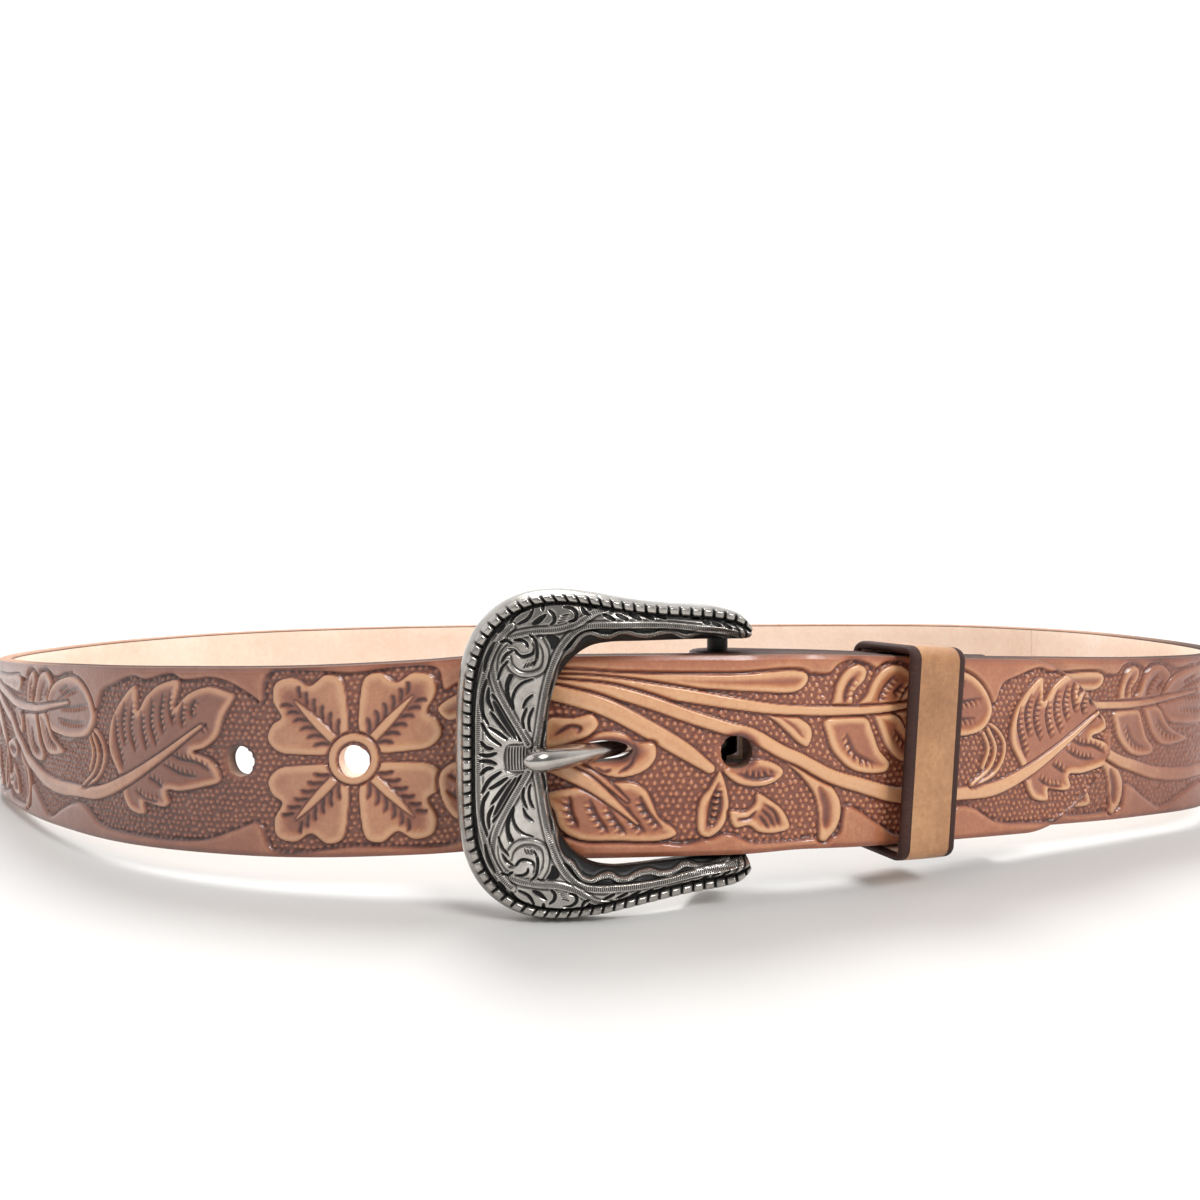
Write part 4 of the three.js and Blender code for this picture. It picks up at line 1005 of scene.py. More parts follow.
strap_right = make_strap(
    "strap_right", place, path_normals(place), strap_middle(distance), np.full(len(place), HALF_WIDTH),
    distance - RIGHT_SHIFT, on_bar_layer, warmth(distance), RIGHT_ROWS, crispness(distance),
    1 - DYE_LOSS * smooth(distance, *DYE_FADE_RIGHT), stain=0.5 * (1 - on_bar_layer))

# Whole periods of the pattern fill the back, from the right seam to the left one.
# The back is drawn mostly mauve, the same painted light as along the rest of the strap.
BACK_PERIODS, BACK_WARMTH, BACK_CRISPNESS, BACK_DYE = 4, 0.2, 0.5, 0.15
BACK_END = LOOP_LENGTH + SEAM_LEFT
back_line = np.linspace(SEAM_RIGHT, BACK_END, int((BACK_END - SEAM_RIGHT) / BACK_SPACING))
back_share = (back_line - SEAM_RIGHT) / (BACK_END - SEAM_RIGHT)
back_from, back_to = SEAM_RIGHT - RIGHT_SHIFT, SEAM_LEFT + BACK_PERIODS * PERIOD


def along_back(value):
    return np.full(len(back_line), value)


strap_back = make_strap(
    "strap_back", loop_point(back_line) + loop_outward(back_line) * PAIR_OFFSET, loop_outward(back_line),
    strap_middle(back_line), along_back(HALF_WIDTH), back_from + (back_to - back_from) * back_share, along_back(1.0),
    along_back(BACK_WARMTH), BACK_ROWS, along_back(BACK_CRISPNESS), along_back(BACK_DYE))


def hole(d, height, depth, length=HOLE, tall=HOLE):
    return oval_cutter(strap_frame(d, float(free_end_offset(d)), height), length, tall, depth, ragged=0.012)


# The hole beside the bar stops in the gap under the free end. The one in the middle shows the flesh side.
THROUGH = 2 * STRAP_THICKNESS
cut_away(strap_free_end, [
    hole(PRONG_HOLE, BUCKLE_MIDDLE, THROUGH, PRONG_HOLE_LONG, PRONG_HOLE_TALL),
    hole(NEXT_HOLE, middle_at(NEXT_HOLE) + HOLE_RISE, LAYER_STEP - LAYER_GAP / 2 + 0.3),
], ON_EDGE)
cut_away(strap_left, [
    hole(LEFT_HOLES[0], middle_at(LEFT_HOLES[0]) + HOLE_RISE, THROUGH),
    hole(LEFT_HOLES[2], middle_at(LEFT_HOLES[2]), THROUGH),
], ON_EDGE)
cut_away(strap_left, [hole(LEFT_HOLES[1], middle_at(LEFT_HOLES[1]), THROUGH)], ON_FLESH)

# The slot for the prong's eye, and the snaps' seats.
EYE_WALL, EYE_WIDTH, EYE_ROOM = 1.7, 5.0, 1.0
SNAPS = (25.0, 57.0)
SNAP_SHAFT, SNAP_SEAT, SNAP_SEAT_DEPTH = 4.6, 8.2, 1.55
PAIR_FACE = PAIR_OFFSET + HALF_THICKNESS
fold_side = FOLD_RADIUS + HALF_THICKNESS
eye_radius = BAR_RADIUS + LAYER_GAP + EYE_WALL
slot_half, slot_tall = fold_side + LAYER_GAP / 2, EYE_WIDTH / 2 + EYE_ROOM
right_cutters = [box_cutter(strap_frame(0.0, 0.0, BUCKLE_MIDDLE), (-fold_side - EYE_ROOM, -slot_half, -slot_tall),
                            (eye_radius + EYE_ROOM, slot_half, slot_tall))]
for d in SNAPS:
    seat = strap_frame(d, 0.0, middle_at(d))
    right_cutters.append(oval_cutter(seat, SNAP_SHAFT, SNAP_SHAFT, 2 * PAIR_FACE + LAYER_GAP))
    right_cutters.append(oval_cutter(seat, SNAP_SEAT, SNAP_SEAT, SNAP_SEAT_DEPTH, 0.625 - PAIR_FACE))
cut_away(strap_right, right_cutters, ON_EDGE)
for piece in (strap_left, strap_free_end, strap_right, strap_back):
    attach(piece, "root")
    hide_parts("strap")

# The buckle, in its own frame: x towards the arms' ends, z up, h outward from the bar. Each row of the band
# gives its outer edge and its window's edge as shares of the reach and of the half height.
BUCKLE_REACH = 49.5
WINDOW_HEIGHT = 41.0
ARM_RISE, FRAME_RISE, BOW_REACH, LUG_REACH = 6.0, 12.3, 23.0, 9.0
RIM_HEIGHT, RIM_WIDTH, RIM_FLARE = 4.4, 1.5, 0.6
WALL_KNEE = 2.4
NOTCH_DEPTH, NOTCH_PITCH = 0.75, 2.2
GROOVE_WIDTH, GROOVE_DEPTH = 0.75, 0.9
LEFT_FLARE = 1.2
CROWN_RISE, FACE_EDGE_DROP = 0.4, 0.25
INNER_EDGE_HEIGHT, INNER_BORDER, FULL_BAND = 2.4, 1.6, 6.0
BAR_OVERLAP = 4.8
BAND = np.array([
    (-0.105, 0.745, -0.145, 1.01), (-0.09, 0.795, -0.105, 1.0), (-0.055, 0.845, -0.05, 1.0),
    (0.01, 0.878, 0.03, 1.0), (0.1, 0.895, 0.15, 1.0), (0.225, 0.912, 0.33, 1.0), (0.36, 0.938, 0.51, 1.0),
    (0.5, 0.98, 0.65, 0.997), (0.64, 1.0, 0.755, 0.965), (0.755, 0.973, 0.84, 0.88), (0.85, 0.895, 0.905, 0.765),
    (0.925, 0.765, 0.948, 0.63), (0.97, 0.6, 0.975, 0.48), (0.991, 0.415, 0.99, 0.325),
    (0.998, 0.21, 0.998, 0.165), (1.0, 0.0, 1.0, 0.0),
])
band_middle = (WINDOW_REACH + BUCKLE_REACH) / 2
end_point = loop_point(-band_middle)
buckle_along = (bar_point - end_point) / np.linalg.norm(bar_point - end_point)
buckle_out = np.array([buckle_along[1], -buckle_along[0]])


def buckle_point(x, h, z):
    """World millimetres of a point in the buckle's own frame."""
    x, h, z = np.broadcast_arrays(x, h, z)
    plan = bar_point + x[..., None] * buckle_along + h[..., None] * buckle_out
    return np.concatenate([plan, (BUCKLE_MIDDLE + z)[..., None]], -1)


def bow_at(from_bar):
    return ARM_RISE + (FRAME_RISE - ARM_RISE) * smooth(from_bar, 0, BOW_REACH)


def underside_at(from_bar):
    lug = 1 - smooth(from_bar, LUG_REACH / 3, LUG_REACH)
    return bow_at(from_bar) * (1 - lug) - BAR_RADIUS * lug


engraving = Relief(-52, 8, -2, 32, 0.1)


def zipper(relief, points, half=0.42, hatch=1.0):
    """A raised ribbon with fine cross hatching between two bright lips."""
    line = curve_through(points, 10)
    win, gx, gy = relief.window(line, half + 0.8)
    near, run, _ = relief.nearest(line, gx, gy)
    body = smooth(half + 0.05 - near, -0.1, 0.1)
    lips = np.exp(-((near - half - 0.08) / 0.14) ** 2)
    moat = np.exp(-((near - half - 0.42) / 0.2) ** 2)
    relief.height[win] = relief.height[win] * (1 - body) + 0.02 * body + 0.1 * lips - 0.16 * moat
    relief.tone[win] = np.clip(relief.tone[win] * (1 - body) + 0.25 * body + 0.55 * moat, 0, 1) * (1 - 0.9 * lips)
    relief.hatch[win] = np.maximum(relief.hatch[win] * (1 - lips), body * hatch * (1 - lips))
    relief.run[win] = np.where(body > 0.05, run, relief.run[win])


def stroke(relief, points, half=0.28, depth=0.32):
    """A cut with a tapering width, blackened inside, and a bright lip."""
    line = curve_through(points, 8)
    total = run_length(line)[-1]
    win, gx, gy = relief.window(line, half + 0.6)
    near, run, _ = relief.nearest(line, gx, gy)
    width = half * (0.3 + 0.7 * np.sqrt(np.clip(4 * run / total * (1 - run / total), 0, 1)))
    body = smooth(width - near, -0.1, 0.1)
    edge = np.exp(-((near - width - 0.16) / 0.12) ** 2)
    relief.height[win] += -depth * body + 0.07 * edge * (1 - body)
    relief.tone[win] = np.clip(np.maximum(relief.tone[win], body), 0, 1) * (1 - 0.8 * edge * (1 - body))


def blacken(relief, outline, depth=0.45, tone=1.0):
    """A sunk, blackened patch inside an outline."""
    line = curve_through(outline, 8, closed=True)
    win, gx, gy = relief.window(line, 0.6)
    near, _, _ = relief.nearest(line, gx, gy)
    body = smooth(np.where(relief.inside(line, gx, gy), near, -near), -0.08, 0.14)
    relief.height[win] = relief.height[win] * (1 - body) - depth * body
    relief.tone[win] = np.maximum(relief.tone[win], tone * body)


def engrave(relief):
    relief.tone[:] = 0.1
    # The dark border round the window, with its wavy ribbon.
    blacken(relief, [(-33.9, -2), (-33.6, 5), (-33.0, 9), (-32.1, 13), (-30.9, 17), (-29.0, 20.1), (-26.7, 22.2),
                     (-24.5, 22.9), (-20, 22.9), (-15, 22.9), (-10, 22.7), (-5, 22.0), (0, 21.4), (4, 20.6),
                     (4, 17), (-20, 17), (-28, 14), (-30, 8), (-31, -2)])
    zipper(relief, [(-33.0, -1.6), (-33.1, 2.5), (-32.6, 5), (-32.9, 7.6), (-32.6, 9.6), (-31.6, 11.5), (-31.3, 14.5),
                    (-30.9, 16.5), (-29.8, 18.3), (-28.5, 19.2), (-27.5, 20.6), (-26.4, 21.8), (-25, 22.2),
                    (-23, 21.6), (-21.5, 21.5), (-20, 22.2), (-18.5, 22.3), (-16.5, 21.7), (-14.5, 21.5), (-12, 22.1),
                    (-10, 22.1), (-7.5, 21.2), (-4.5, 21.8), (-1.5, 21.5), (1, 20.6)], half=0.26, hatch=0.8)
    # The long hatched ribbons.
    zipper(relief, [(-34.5, -1.6), (-34.6, 2), (-34.1, 5), (-33.5, 9), (-32.7, 13), (-31.5, 17), (-29.6, 20.5),
                    (-27, 22.9), (-24.5, 23.5), (-20, 23.5), (-15, 23.5), (-10, 23.2), (-5, 22.6), (0, 22.0),
                    (3, 21.2)], half=0.42)
    zipper(relief, [(-36, 2.4), (-37.5, 5), (-39.5, 8.5), (-41.3, 12), (-42.2, 15), (-42.1, 18), (-40.8, 20.3),
                    (-38.5, 21.7), (-35, 22.5), (-31, 22.8), (-28, 23.6), (-26, 24.7), (-24, 26), (-22, 26.4)],
           half=0.4)
    zipper(relief, [(-44.9, -2), (-44.8, 8), (-44.2, 13), (-42.8, 18), (-40.8, 21.6), (-39.0, 23.4)], half=0.4)
    # The fan of rays out of the hatched seat under the prong's tip.
    for cut in ([(-40.8, 2.3), (-43, 4), (-44.3, 6.3)], [(-39.7, 3.4), (-41.6, 4.7), (-43.1, 5.6)],
                [(-39, 3.7), (-41, 6), (-42.7, 8.3)], [(-37.3, 3.0), (-39, 5.6), (-41, 9), (-42.4, 11.5)],
                [(-38.2, 3.4), (-40.4, 6.8), (-42.2, 10.2)], [(-43, 5.9), (-44.1, 8), (-44.2, 11), (-43.4, 14)],
                [(-42.2, 8.4), (-43.1, 10.4), (-43.0, 12.6)], [(-44.6, 3), (-43.4, 1.9), (-42.2, 1.7)],
                [(-44.8, 0.6), (-43, 0.5), (-41.6, 1.0)], [(-43.8, 15.4), (-43.3, 17.8), (-42, 20.6)]):
        stroke(relief, cut, half=0.34, depth=0.4)
    blacken(relief, [(-40.2, -2), (-40.4, 0.6), (-39.8, 2.3), (-37.6, 2.6), (-36.2, 1.8), (-36, -2)], 0.25, 0.6)
    for i in range(6):
        x = -39.4 + 0.52 * i
        stroke(relief, [(x, -1.4), (x - 0.08, 0.6), (x, 2.0)], half=0.13, depth=0.2)
    # The scroll in the lower panel.
    zipper(relief, [(-33.9, 21.2), (-33, 19.4), (-32.9, 17.3), (-33.5, 15.8), (-35, 15), (-37, 14.9), (-38.3, 15.5),
                    (-39.2, 16.6), (-39.5, 17.8)], half=0.12, hatch=0.0)
    for cut in ([(-39.6, 19.4), (-38.4, 19.2), (-37.8, 18.5), (-37.2, 18.1), (-36.2, 18.2), (-35.3, 18.6),
                 (-34.9, 19.6), (-35.2, 20.6)], [(-38.5, 21), (-37, 20.9), (-36.2, 20.3), (-36.1, 19.6)],
                [(-40.8, 16.9), (-39.9, 18.4), (-38.7, 19.1)], [(-41.4, 13.9), (-40.7, 15.9), (-39.5, 17.4)],
                [(-35.1, 14.1), (-37, 13.4), (-38.2, 12.2), (-38.8, 10.5), (-38.6, 9)],
                [(-35.2, 11.3), (-36.4, 10.2), (-37, 8.8)], [(-35.1, 9), (-35.8, 7.4), (-35.9, 5.5), (-35.6, 4.6)],
                [(-36.3, 9), (-37, 7), (-36.8, 5.2)], [(-41, 20.6), (-39.8, 20.9), (-38.8, 20.3)],
                [(-35.8, 22), (-34.8, 21), (-34.4, 19.2), (-34.6, 17.5), (-35.5, 16.2)]):
        stroke(relief, cut, half=0.26)
    blacken(relief, [(-39.3, 15), (-40.1, 13), (-39.9, 10.8), (-38.6, 8.4), (-38.4, 9), (-39.2, 11), (-39.3, 13),
                     (-38.6, 14.8)])
    blacken(relief, [(-32.9, 21.7), (-31.4, 21.8), (-30.5, 21.1), (-31.8, 19.2), (-32.2, 20.4)])
    for i in range(4):
        x = -36.8 + 0.55 * i
        stroke(relief, [(x, 16.1 + 0.12 * i), (x + 0.6, 17.0 + 0.12 * i)], half=0.14, depth=0.2)
    # The upper panel at the corner.
    for cut in ([(-39.3, 24), (-38.2, 25.4), (-36.6, 26.4)], [(-37.9, 23.7), (-36, 24.8), (-35.1, 26.4)],
                [(-32.4, 26.3), (-31.5, 25.4), (-31.4, 24.3), (-32.1, 23.6)],
                [(-29.8, 26.8), (-28.4, 26.6), (-27.5, 25.6), (-27.7, 24.6), (-28.8, 24.2)],
                [(-33.4, 26.1), (-33.5, 27.4)], [(-26.6, 26.8), (-26.1, 25.9), (-25.2, 25.4)],
                [(-25.8, 27.2), (-25.0, 26.3)], [(-24.8, 27.4), (-24.2, 26.8)], [(-41.4, 22.2), (-40.2, 23.6)]):
        stroke(relief, cut, half=0.3)
    blacken(relief, [(-35.5, 23.7), (-34, 23.9), (-32.7, 25.6), (-34.2, 25.0)])
    for i in range(4):
        stroke(relief, [(-30.9 + 0.25 * i, 24.0 + 0.42 * i), (-29.4 + 0.2 * i, 24.4 + 0.38 * i)], half=0.12, depth=0.2)
        stroke(relief, [(-31.2 + 0.55 * i, 27.1), (-31.1 + 0.55 * i, 27.7)], half=0.13, depth=0.2)
    # The arm: slanting leaf cuts, and a curl at its end.
    for i in range(5):
        x = -22.8 + 2.35 * i
        stroke(relief, [(x, 25.5 - 0.02 * i), (x + 1.0, 25.0), (x + 2.1, 24.5)], half=0.32, depth=0.35)
    for x, z in ((-13.8, 25.7), (-11.7, 25.4), (-9.5, 25.1), (-7.5, 24.9), (-5.6, 24.6)):
        stroke(relief, [(x - 0.6, z), (x + 0.6, z - 0.05)], half=0.24, depth=0.3)
    for cut in ([(-4.3, 23.8), (-3, 23.5)], [(-2.5, 23.6), (-1, 23.0)], [(-0.5, 23.5), (1, 22.5)]):
        stroke(relief, cut, half=0.28, depth=0.35)
    zipper(relief, [(-6, 25.0), (0, 24.6), (2, 23.6), (3.2, 21.6), (3.4, 20.2)], half=0.1, hatch=0.0)


engrave(engraving)


def make_buckle_frame():
    both = np.vstack([BAND * (1, -1, 1, -1), BAND[-2::-1]])
    outer = curve_through(np.column_stack([-both[:, 0] * BUCKLE_REACH, both[:, 1] * BUCKLE_MIDDLE]), 80)
    inner = curve_through(np.column_stack([-both[:, 2] * WINDOW_REACH, both[:, 3] * WINDOW_HEIGHT / 2]), 80)
    total = run_length(outer)
    teeth = round(total[-1] / NOTCH_PITCH)
    per_tooth = full_or_quick(12)
    columns = teeth * per_tooth - 2
    tooth_run = np.arange(columns) / per_tooth + 0.12
    at = tooth_run / teeth * total[-1]
    o, i = (np.column_stack([np.interp(at, total, edge[:, k]) for k in (0, 1)]) for edge in (outer, inner))
    band = np.linalg.norm(i - o, axis=1)
    inward = (i - o) / band[:, None]
    squeeze = np.minimum(1, band / FULL_BAND)
    phase = np.mod(tooth_run, 1)
    notch = np.maximum(smooth(phase, 0.74, 0.86) * (1 - smooth(phase, 0.97, 1.05)), 1 - smooth(phase, -0.04, 0.05))
    tooth_round = 1 - 0.22 * np.abs(2 * np.clip(phase / 0.72, 0, 1) - 1) ** 3
    flare = RIM_FLARE + LEFT_FLARE * np.clip(inward[:, 0], 0, 1)
    rim_end = flare + RIM_WIDTH
    rows = []

    def row(out, up, soot_and_shade=None, under=False, scaled=True):
        """One row: how far in it lies, how high, and its darkness from soot and painted shade, or the engraving's where
        that is None.
        """
        rows.append((np.broadcast_to(out * squeeze if scaled else out, columns), up, soot_and_shade, under))

    # Each row's third value is its darkness, soot and painted shade together: the notches and the groove are blackened,
    # and the window's inner wall and the underside are drawn darker.
    row(0.0, 0.0, 0.12, under=True)
    for share, up, dark in ((0.1, 1.2, 0.15), (0.4, WALL_KNEE, 0.2), (0.7, WALL_KNEE + 0.4, 0.25)):
        row(flare * share, up, dark)
    row(flare * 0.9 + 0.1 * notch, WALL_KNEE + 0.9 - 0.1 * notch, 0.2 + 0.6 * notch)
    # Painted shade: the rim's flanks are drawn darker than its crest.
    for b in np.linspace(0, 1, 9):
        bulge = 0.75 * min(1.0, 1.6 * math.sin(math.pi * b))
        up = RIM_HEIGHT - 0.45 + 0.55 * bulge * tooth_round - (NOTCH_DEPTH + 0.15) * notch * (0.25 + 0.75 * b)
        row(flare + RIM_WIDTH * b, up, 0.2 + 0.8 * notch + 1.2 * max(0.0, b - 0.75) + 0.5 * max(0.0, 0.25 - b))
    row(rim_end + 0.12, RIM_HEIGHT - 0.85, 0.85)
    row(rim_end + 0.3, RIM_HEIGHT - GROOVE_DEPTH - 0.15, 1.0)
    groove_start = len(rows)
    for share in (0.35, 0.5, 0.65, 0.8):
        row(rim_end + GROOVE_WIDTH * share, RIM_HEIGHT - GROOVE_DEPTH + 0.25 * share)
    face_first = len(rows)
    face_edge = RIM_HEIGHT - FACE_EDGE_DROP
    start, stop = (rim_end + GROOVE_WIDTH) * squeeze, band - INNER_BORDER * squeeze
    for share in np.linspace(0, 1, full_or_quick(62)):
        crown = (CROWN_RISE * squeeze + FACE_EDGE_DROP) * (1 - (2 * share - 1) ** 2)
        row(start + (stop - start) * share, face_edge + crown, scaled=False)
    for share in np.linspace(0, 1, 10)[1:]:
        row(stop + (band - stop) * share, face_edge + (INNER_EDGE_HEIGHT - face_edge) * share**1.3, scaled=False)
    row(band, INNER_EDGE_HEIGHT * 0.5, 0.8, scaled=False)
    row(band, 0.0, 0.6, under=True, scaled=False)
    for share in (0.8, 0.6, 0.4, 0.2):
        row(band * share, 0.0, 0.15, under=True, scaled=False)
    count = len(rows)
    points = np.zeros((columns, count, 3))
    soot_and_shade, hatch, run = np.zeros((3, columns, count))
    for r, (out, up, dark, under) in enumerate(rows):
        x, z = (o + inward * out[:, None]).T
        height = underside_at(-x) if under else bow_at(-x) + up
        if dark is None:
            folded = np.abs(z)
            height = height + engraving.sample(engraving.height, x, folded)
            # Painted shade: the groove is drawn as shadow, and the face is drawn darker towards the top.
            shadow = 0.75 if groove_start <= r < face_first else 0.16 * smooth(z, -8, 22)
            dark = np.clip(engraving.sample(engraving.tone, x, folded) + shadow, 0, 1)
            hatch[:, r] = engraving.sample(engraving.hatch, x, folded)
            run[:, r] = engraving.sample(engraving.run, x, folded)
        points[:, r] = buckle_point(x, height, z)
        soot_and_shade[:, r] = dark
    faces, _ = ring_faces(columns, count)
    points = cap_faces(points.reshape(-1, 3), faces, count, columns)
    # The bar that joins the arms' ends.
    sides, stations = 40, np.linspace(-0.5, 0.5, 24) * (WINDOW_HEIGHT + BAR_OVERLAP)
    angle = np.linspace(0, 2 * math.pi, sides, endpoint=False)
    pin = buckle_point(BAR_RADIUS * np.cos(angle), -BAR_RADIUS * np.sin(angle), stations[:, None]).reshape(-1, 3)
    pin_faces, _ = ring_faces(len(stations), sides)
    pin = cap_faces(pin, pin_faces, sides, len(stations))
    # The bar inside the strap's fold is drawn dark all over.
    values = {}
    for key, data, at_ends, on_pin in (("soot_and_shade", soot_and_shade, 0.2, 0.85), ("hatch", hatch, 0.0, 0.0), ("run", run, 0.2, 0.0)):
        values[key] = np.concatenate([data.reshape(-1), np.full(2, at_ends), np.full(len(pin), on_pin)])
    points = joined(points, faces, pin, pin_faces)
    return make_object("buckle_band", points, faces, [0] * len(faces), [antique_silver()], values)


buckle = make_buckle_frame()
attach(buckle, "root")
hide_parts("buckle_frame")

# The prong: its radii, its length from the bar, and its shank as shares of length, rise and swell.
PRONG_RADIUS, PRONG_TIP_RADIUS, PRONG_LENGTH = 1.5, 2.15, 36.8
PRONG_ROUNDING, EYE_BEVEL = 4.4, 0.45
SHANK = np.array([
    (0.08, 0.0, 0.0), (0.25, 0.05, 0.0), (0.38, 0.16, 0.0), (0.51, 0.32, 0.0), (0.64, 0.53, 0.15),
    (0.75, 0.72, 0.6), (0.85, 0.87, 1.0), (0.93, 0.97, 1.0), (1.0, 1.0, 1.0),
])


def make_prong():
    rest = FRAME_RISE + RIM_HEIGHT + PRONG_TIP_RADIUS + 2 * LAYER_GAP
    line = curve_through(np.column_stack([-SHANK[:, 0] * PRONG_LENGTH, SHANK[:, 1] * rest, SHANK[:, 2]]), 40)
    total = run_length(line[:, :2])
    quarter = np.linspace(0, math.pi / 2, 22)[1:]
    at = np.concatenate([np.linspace(0, total[-1] - PRONG_ROUNDING, 70),
                         total[-1] - PRONG_ROUNDING * (1 - np.sin(quarter))])
    girth = np.maximum(np.concatenate([np.ones(70), np.cos(quarter)]), 0.04)
    x, h, swell = (np.interp(at, total, line[:, k]) for k in range(3))
    slope = np.gradient(np.column_stack([x, h]), axis=0)
    slope[-3:] = slope[-4]
    slope /= np.linalg.norm(slope, axis=1, keepdims=True)
    outward = np.column_stack([slope[:, 1], -slope[:, 0]])
    outward *= np.sign(outward[:, 1:2] + 1e-9)
    radius = (girth * (PRONG_RADIUS + (PRONG_TIP_RADIUS - PRONG_RADIUS) * np.clip(swell, 0, 1)))[:, None]
    sides = 40
    angle = np.linspace(0, 2 * math.pi, sides, endpoint=False)
    points = buckle_point(x[:, None] + outward[:, :1] * radius * np.cos(angle),
                          h[:, None] + outward[:, 1:] * radius * np.cos(angle),
                          radius * 1.02 * np.sin(angle)).reshape(-1, 3)
    faces, _ = ring_faces(len(at), sides)
    points = cap_faces(points, faces, sides, len(at))
    shank_x = np.concatenate([np.repeat(x, sides), x[[0, -1]]])
    # The eye round the bar.
    inner, outer, half, cut = BAR_RADIUS + LAYER_GAP, eye_radius, EYE_WIDTH / 2, EYE_BEVEL
    bevelled = [(inner, half - cut), (inner + cut, half), (outer - cut, half), (outer, half - cut)]
    r, z = np.array([(r, -z) for r, z in bevelled] + bevelled[::-1]).T
    turns = np.linspace(0, 2 * math.pi, 56, endpoint=False)
    eye = buckle_point(np.cos(turns)[:, None] * r, np.sin(turns)[:, None] * r, z).reshape(-1, 3)
    eye_faces, _ = ring_faces(len(turns), len(r), closed=True)
    # Painted shade: the shank is drawn dark where it goes under the strap, and the eye inside the fold is dark all
    # over.
    soot_and_shade = np.concatenate([smooth(shank_x, -16, -8), np.ones(len(eye))])
    points = joined(points, faces, eye, eye_faces)
    return make_object("prong_polished", points, faces, [0] * len(faces), [polished_silver("polished_silver", 0.12)],
                       {"soot_and_shade": soot_and_shade})


prong = make_prong()
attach(prong, "root")
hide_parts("prong")

# The keeper, a band round all the layers.
KEEPER_FROM_BAR, KEEPER_WIDTH, KEEPER_THICKNESS = 39.2, 14.0, 1.8
KEEPER_CLEARANCE, KEEPER_STANDOFF, KEEPER_CORNER = 0.4, 2.3, 3.0
KEEPER_BORDER, KEEPER_EDGE, KEEPER_CROWN, KEEPER_INNER_CORNER = 2.0, 1.1, 0.1, 0.5


def rounded_loop(width, height, corner):
    """A closed rounded rectangle, its points matched from one size to the next."""
    arcs = []
    for k, (sx, sy) in enumerate(((1, -1), (1, 1), (-1, 1), (-1, -1))):
        a = np.linspace(0, math.pi / 2, 14) + (k - 1) * math.pi / 2
        arcs.append(np.column_stack([sx * (width / 2 - corner) + corner * np.cos(a),
                                     sy * (height / 2 - corner) + corner * np.sin(a)]))
    t = np.linspace(0, 1, 18)[1:-1, None]
    full = []
    for arc, following in zip(arcs, arcs[1:] + arcs[:1]):
        full += [arc, arc[-1] * (1 - t) + following[0] * t]
    return np.vstack(full)


def make_keeper():
    depth = 2 * LAYER_STEP + STRAP_THICKNESS + 2 * KEEPER_CLEARANCE + KEEPER_STANDOFF
    height = STRAP_WIDTH + 2 * KEEPER_CLEARANCE
    t = KEEPER_THICKNESS
    flat, border = KEEPER_WIDTH / 2 - KEEPER_EDGE, KEEPER_WIDTH / 2 - KEEPER_BORDER
    # The section, across the band: (along the strap, out, material: 0 face, 1 dyed edge, 2 flesh side).
    section = [(a * flat, t - KEEPER_CROWN * a * a, int(abs(a) * flat > border)) for a in np.linspace(-1, 1, 27)]
    for a in np.linspace(0, math.pi, 15)[1:-1]:
        section.append((flat + KEEPER_EDGE * math.sin(a), t / 2 + (t / 2 - KEEPER_CROWN * (a < 1.6)) * math.cos(a), 1))
    section += [(a * flat, 0.0, 2) for a in np.linspace(1, -1, 9)]
    for a in np.linspace(math.pi, 2 * math.pi, 15)[1:-1]:
        section.append((KEEPER_EDGE * math.sin(a) - flat, t / 2 + (t / 2 - KEEPER_CROWN * (a > 4.7)) * math.cos(a), 1))
    seat = strap_frame(KEEPER_FROM_BAR, PAIR_OFFSET + KEEPER_STANDOFF / 2, middle_at(KEEPER_FROM_BAR))
    rings = []
    for along, out, _ in section:
        corner = KEEPER_INNER_CORNER + (KEEPER_CORNER - KEEPER_INNER_CORNER) * out / t
        loop = rounded_loop(depth + 2 * out, height + 2 * out, corner)
        rings.append([tuple(seat @ Vector((along, y, z))) for y, z in loop])
    points = np.array(rings).reshape(-1, 3)
    count = len(rings[0])
    faces, _ = ring_faces(len(rings), count, closed=True)
    kinds = [kind for _, _, kind in section]
    indices = [k if k == n else 1 for k, n in zip(kinds, kinds[1:] + kinds[:1]) for _ in range(count)]
    return make_object("keeper_loop", points, faces, indices, [keeper_leather(), EDGE, FLESH],
                       {"tone": np.ones(len(points))})


keeper = make_keeper()
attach(keeper, "root")
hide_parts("keeper")

# The snaps: a post with a head on the tab, and a domed cap inside the loop.
snap_metal = polished_silver("snap_metal", 0.24)
SNAP_CAP_RADIUS, SNAP_POST_RADIUS, SNAP_CENTRE = 5.2, 1.8, 0.02


def make_snap(name, d):
    cap = PAIR_FACE + 0.5
    profile = [(SNAP_CENTRE, -PAIR_FACE), (3.3, -PAIR_FACE), (3.6, 0.2 - PAIR_FACE), (3.6, 0.75 - PAIR_FACE),
               (3.4, 0.9 - PAIR_FACE), (SNAP_POST_RADIUS, 0.9 - PAIR_FACE), (SNAP_POST_RADIUS, cap),
               (SNAP_CAP_RADIUS, cap)]
    profile += [(5.5 * math.cos(a) ** 0.7, cap + 0.3 + 1.3 * math.sin(a)) for a in np.linspace(0, 1.5, 12)]
    profile.append((SNAP_CENTRE, cap + 1.6))
    seat = strap_frame(d, 0.0, middle_at(d))
    turns = np.linspace(0, 2 * math.pi, 48, endpoint=False)
    points = np.array([tuple(seat @ Vector((r * math.cos(a), y, r * math.sin(a)))) for r, y in profile for a in turns])
    faces, _ = ring_faces(len(profile), len(turns))
    points = cap_faces(points, faces, len(turns), len(profile))
    return make_object(name, points, faces, [0] * len(faces), [snap_metal])


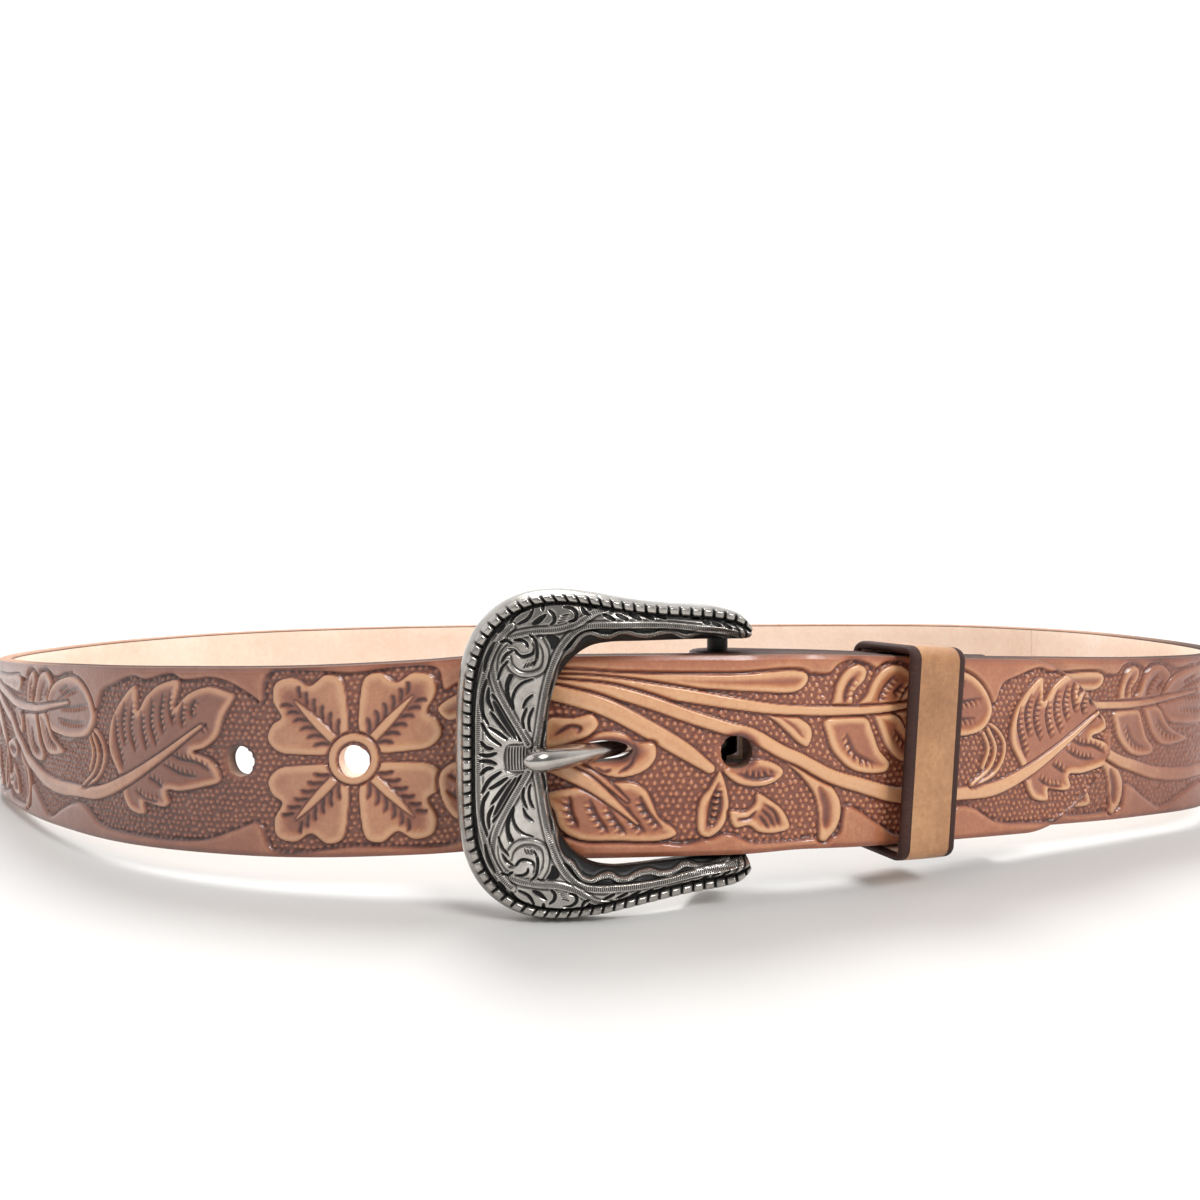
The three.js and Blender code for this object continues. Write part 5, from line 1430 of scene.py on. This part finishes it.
for number, d in enumerate(SNAPS, 1):
    snap = make_snap(f"snap_cap_{number}", d)
    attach(snap, "root")
    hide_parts(f"snap_{number}")

# The floor, the light and the camera.
FLOOR_HALF = 60.0
corners = np.array([(-1, -1, 0), (1, -1, 0), (1, 1, 0), (-1, 1, 0)]) * FLOOR_HALF / MM
floor = make_object("floor", corners, [[0, 1, 2, 3]], [0], [], smooth_faces=False)
paper = Nodes("pale_floor")
paper.set("Base Color", paper.ramp(paper.noise(3, 2), [(0.3, (206, 205, 203)), (0.7, (212, 211, 209))]))
paper.set("Roughness", 0.7)
floor.data.materials.append(paper.material)

# The light from the sky is stronger towards the back, +Y.
world = bpy.data.worlds.new("studio")
bpy.context.scene.world = world
world.use_nodes = True
sky = world.node_tree
background = sky.nodes["Background"]
direction = sky.nodes.new("ShaderNodeTexCoord")
split = sky.nodes.new("ShaderNodeSeparateXYZ")
sky.links.new(direction.outputs["Generated"], split.inputs["Vector"])
level = sky.nodes.new("ShaderNodeMapRange")
level.interpolation_type = "SMOOTHSTEP"
for socket, value in (("From Min", -0.5), ("From Max", 0.25), ("To Min", 0.22), ("To Max", 1.12)):
    level.inputs[socket].default_value = value
sky.links.new(split.outputs["Y"], level.inputs["Value"])
# The backdrop itself is white from every side, and only the light that it gives varies.
seen = sky.nodes.new("ShaderNodeLightPath")
backdrop = sky.nodes.new("ShaderNodeMath")
backdrop.operation = "MAXIMUM"
sky.links.new(level.outputs["Result"], backdrop.inputs[0])
sky.links.new(seen.outputs["Is Camera Ray"], backdrop.inputs[1])
sky.links.new(backdrop.outputs["Value"], background.inputs["Strength"])
background.inputs["Color"].default_value = (1, 1, 1, 1)


def soft_sun(name, towards, strength, spread):
    data = bpy.data.lights.new(name, "SUN")
    data.energy = strength
    data.angle = math.radians(spread)
    light = bpy.data.objects.new(name, data)
    light.rotation_euler = Vector(towards).to_track_quat("Z", "Y").to_euler()
    bpy.context.scene.collection.objects.link(light)


soft_sun("key", (0.5, -0.62, 0.8), 2.0, 22)
soft_sun("back", (-0.12, 0.5, 0.95), 2.0, 26)
soft_sun("fill", (-0.8, -0.5, 0.7), 0.5, 50)

# The focal length is taken as 900 pixels of the photo's 1200. The camera's place and its tilt, which puts the horizon
# 30.5 pixels above the middle, were then set so that the strap's edges match the photo's.
SENSOR_MM, LENS_MM = 36, 27
CAMERA_PLACE = (0.003, -0.2865, 0.0634)
CAMERA_TILT = math.atan(30.5 / 900)
camera_data = bpy.data.cameras.new("camera")
camera_data.sensor_width = SENSOR_MM
camera_data.lens = LENS_MM
camera_data.clip_start = 0.01
camera = bpy.data.objects.new("camera", camera_data)
camera.location = CAMERA_PLACE
camera.rotation_euler = (math.radians(90) - CAMERA_TILT, 0, 0)
bpy.context.scene.collection.objects.link(camera)
bpy.context.scene.camera = camera
bpy.context.scene.view_settings.view_transform = "Standard"
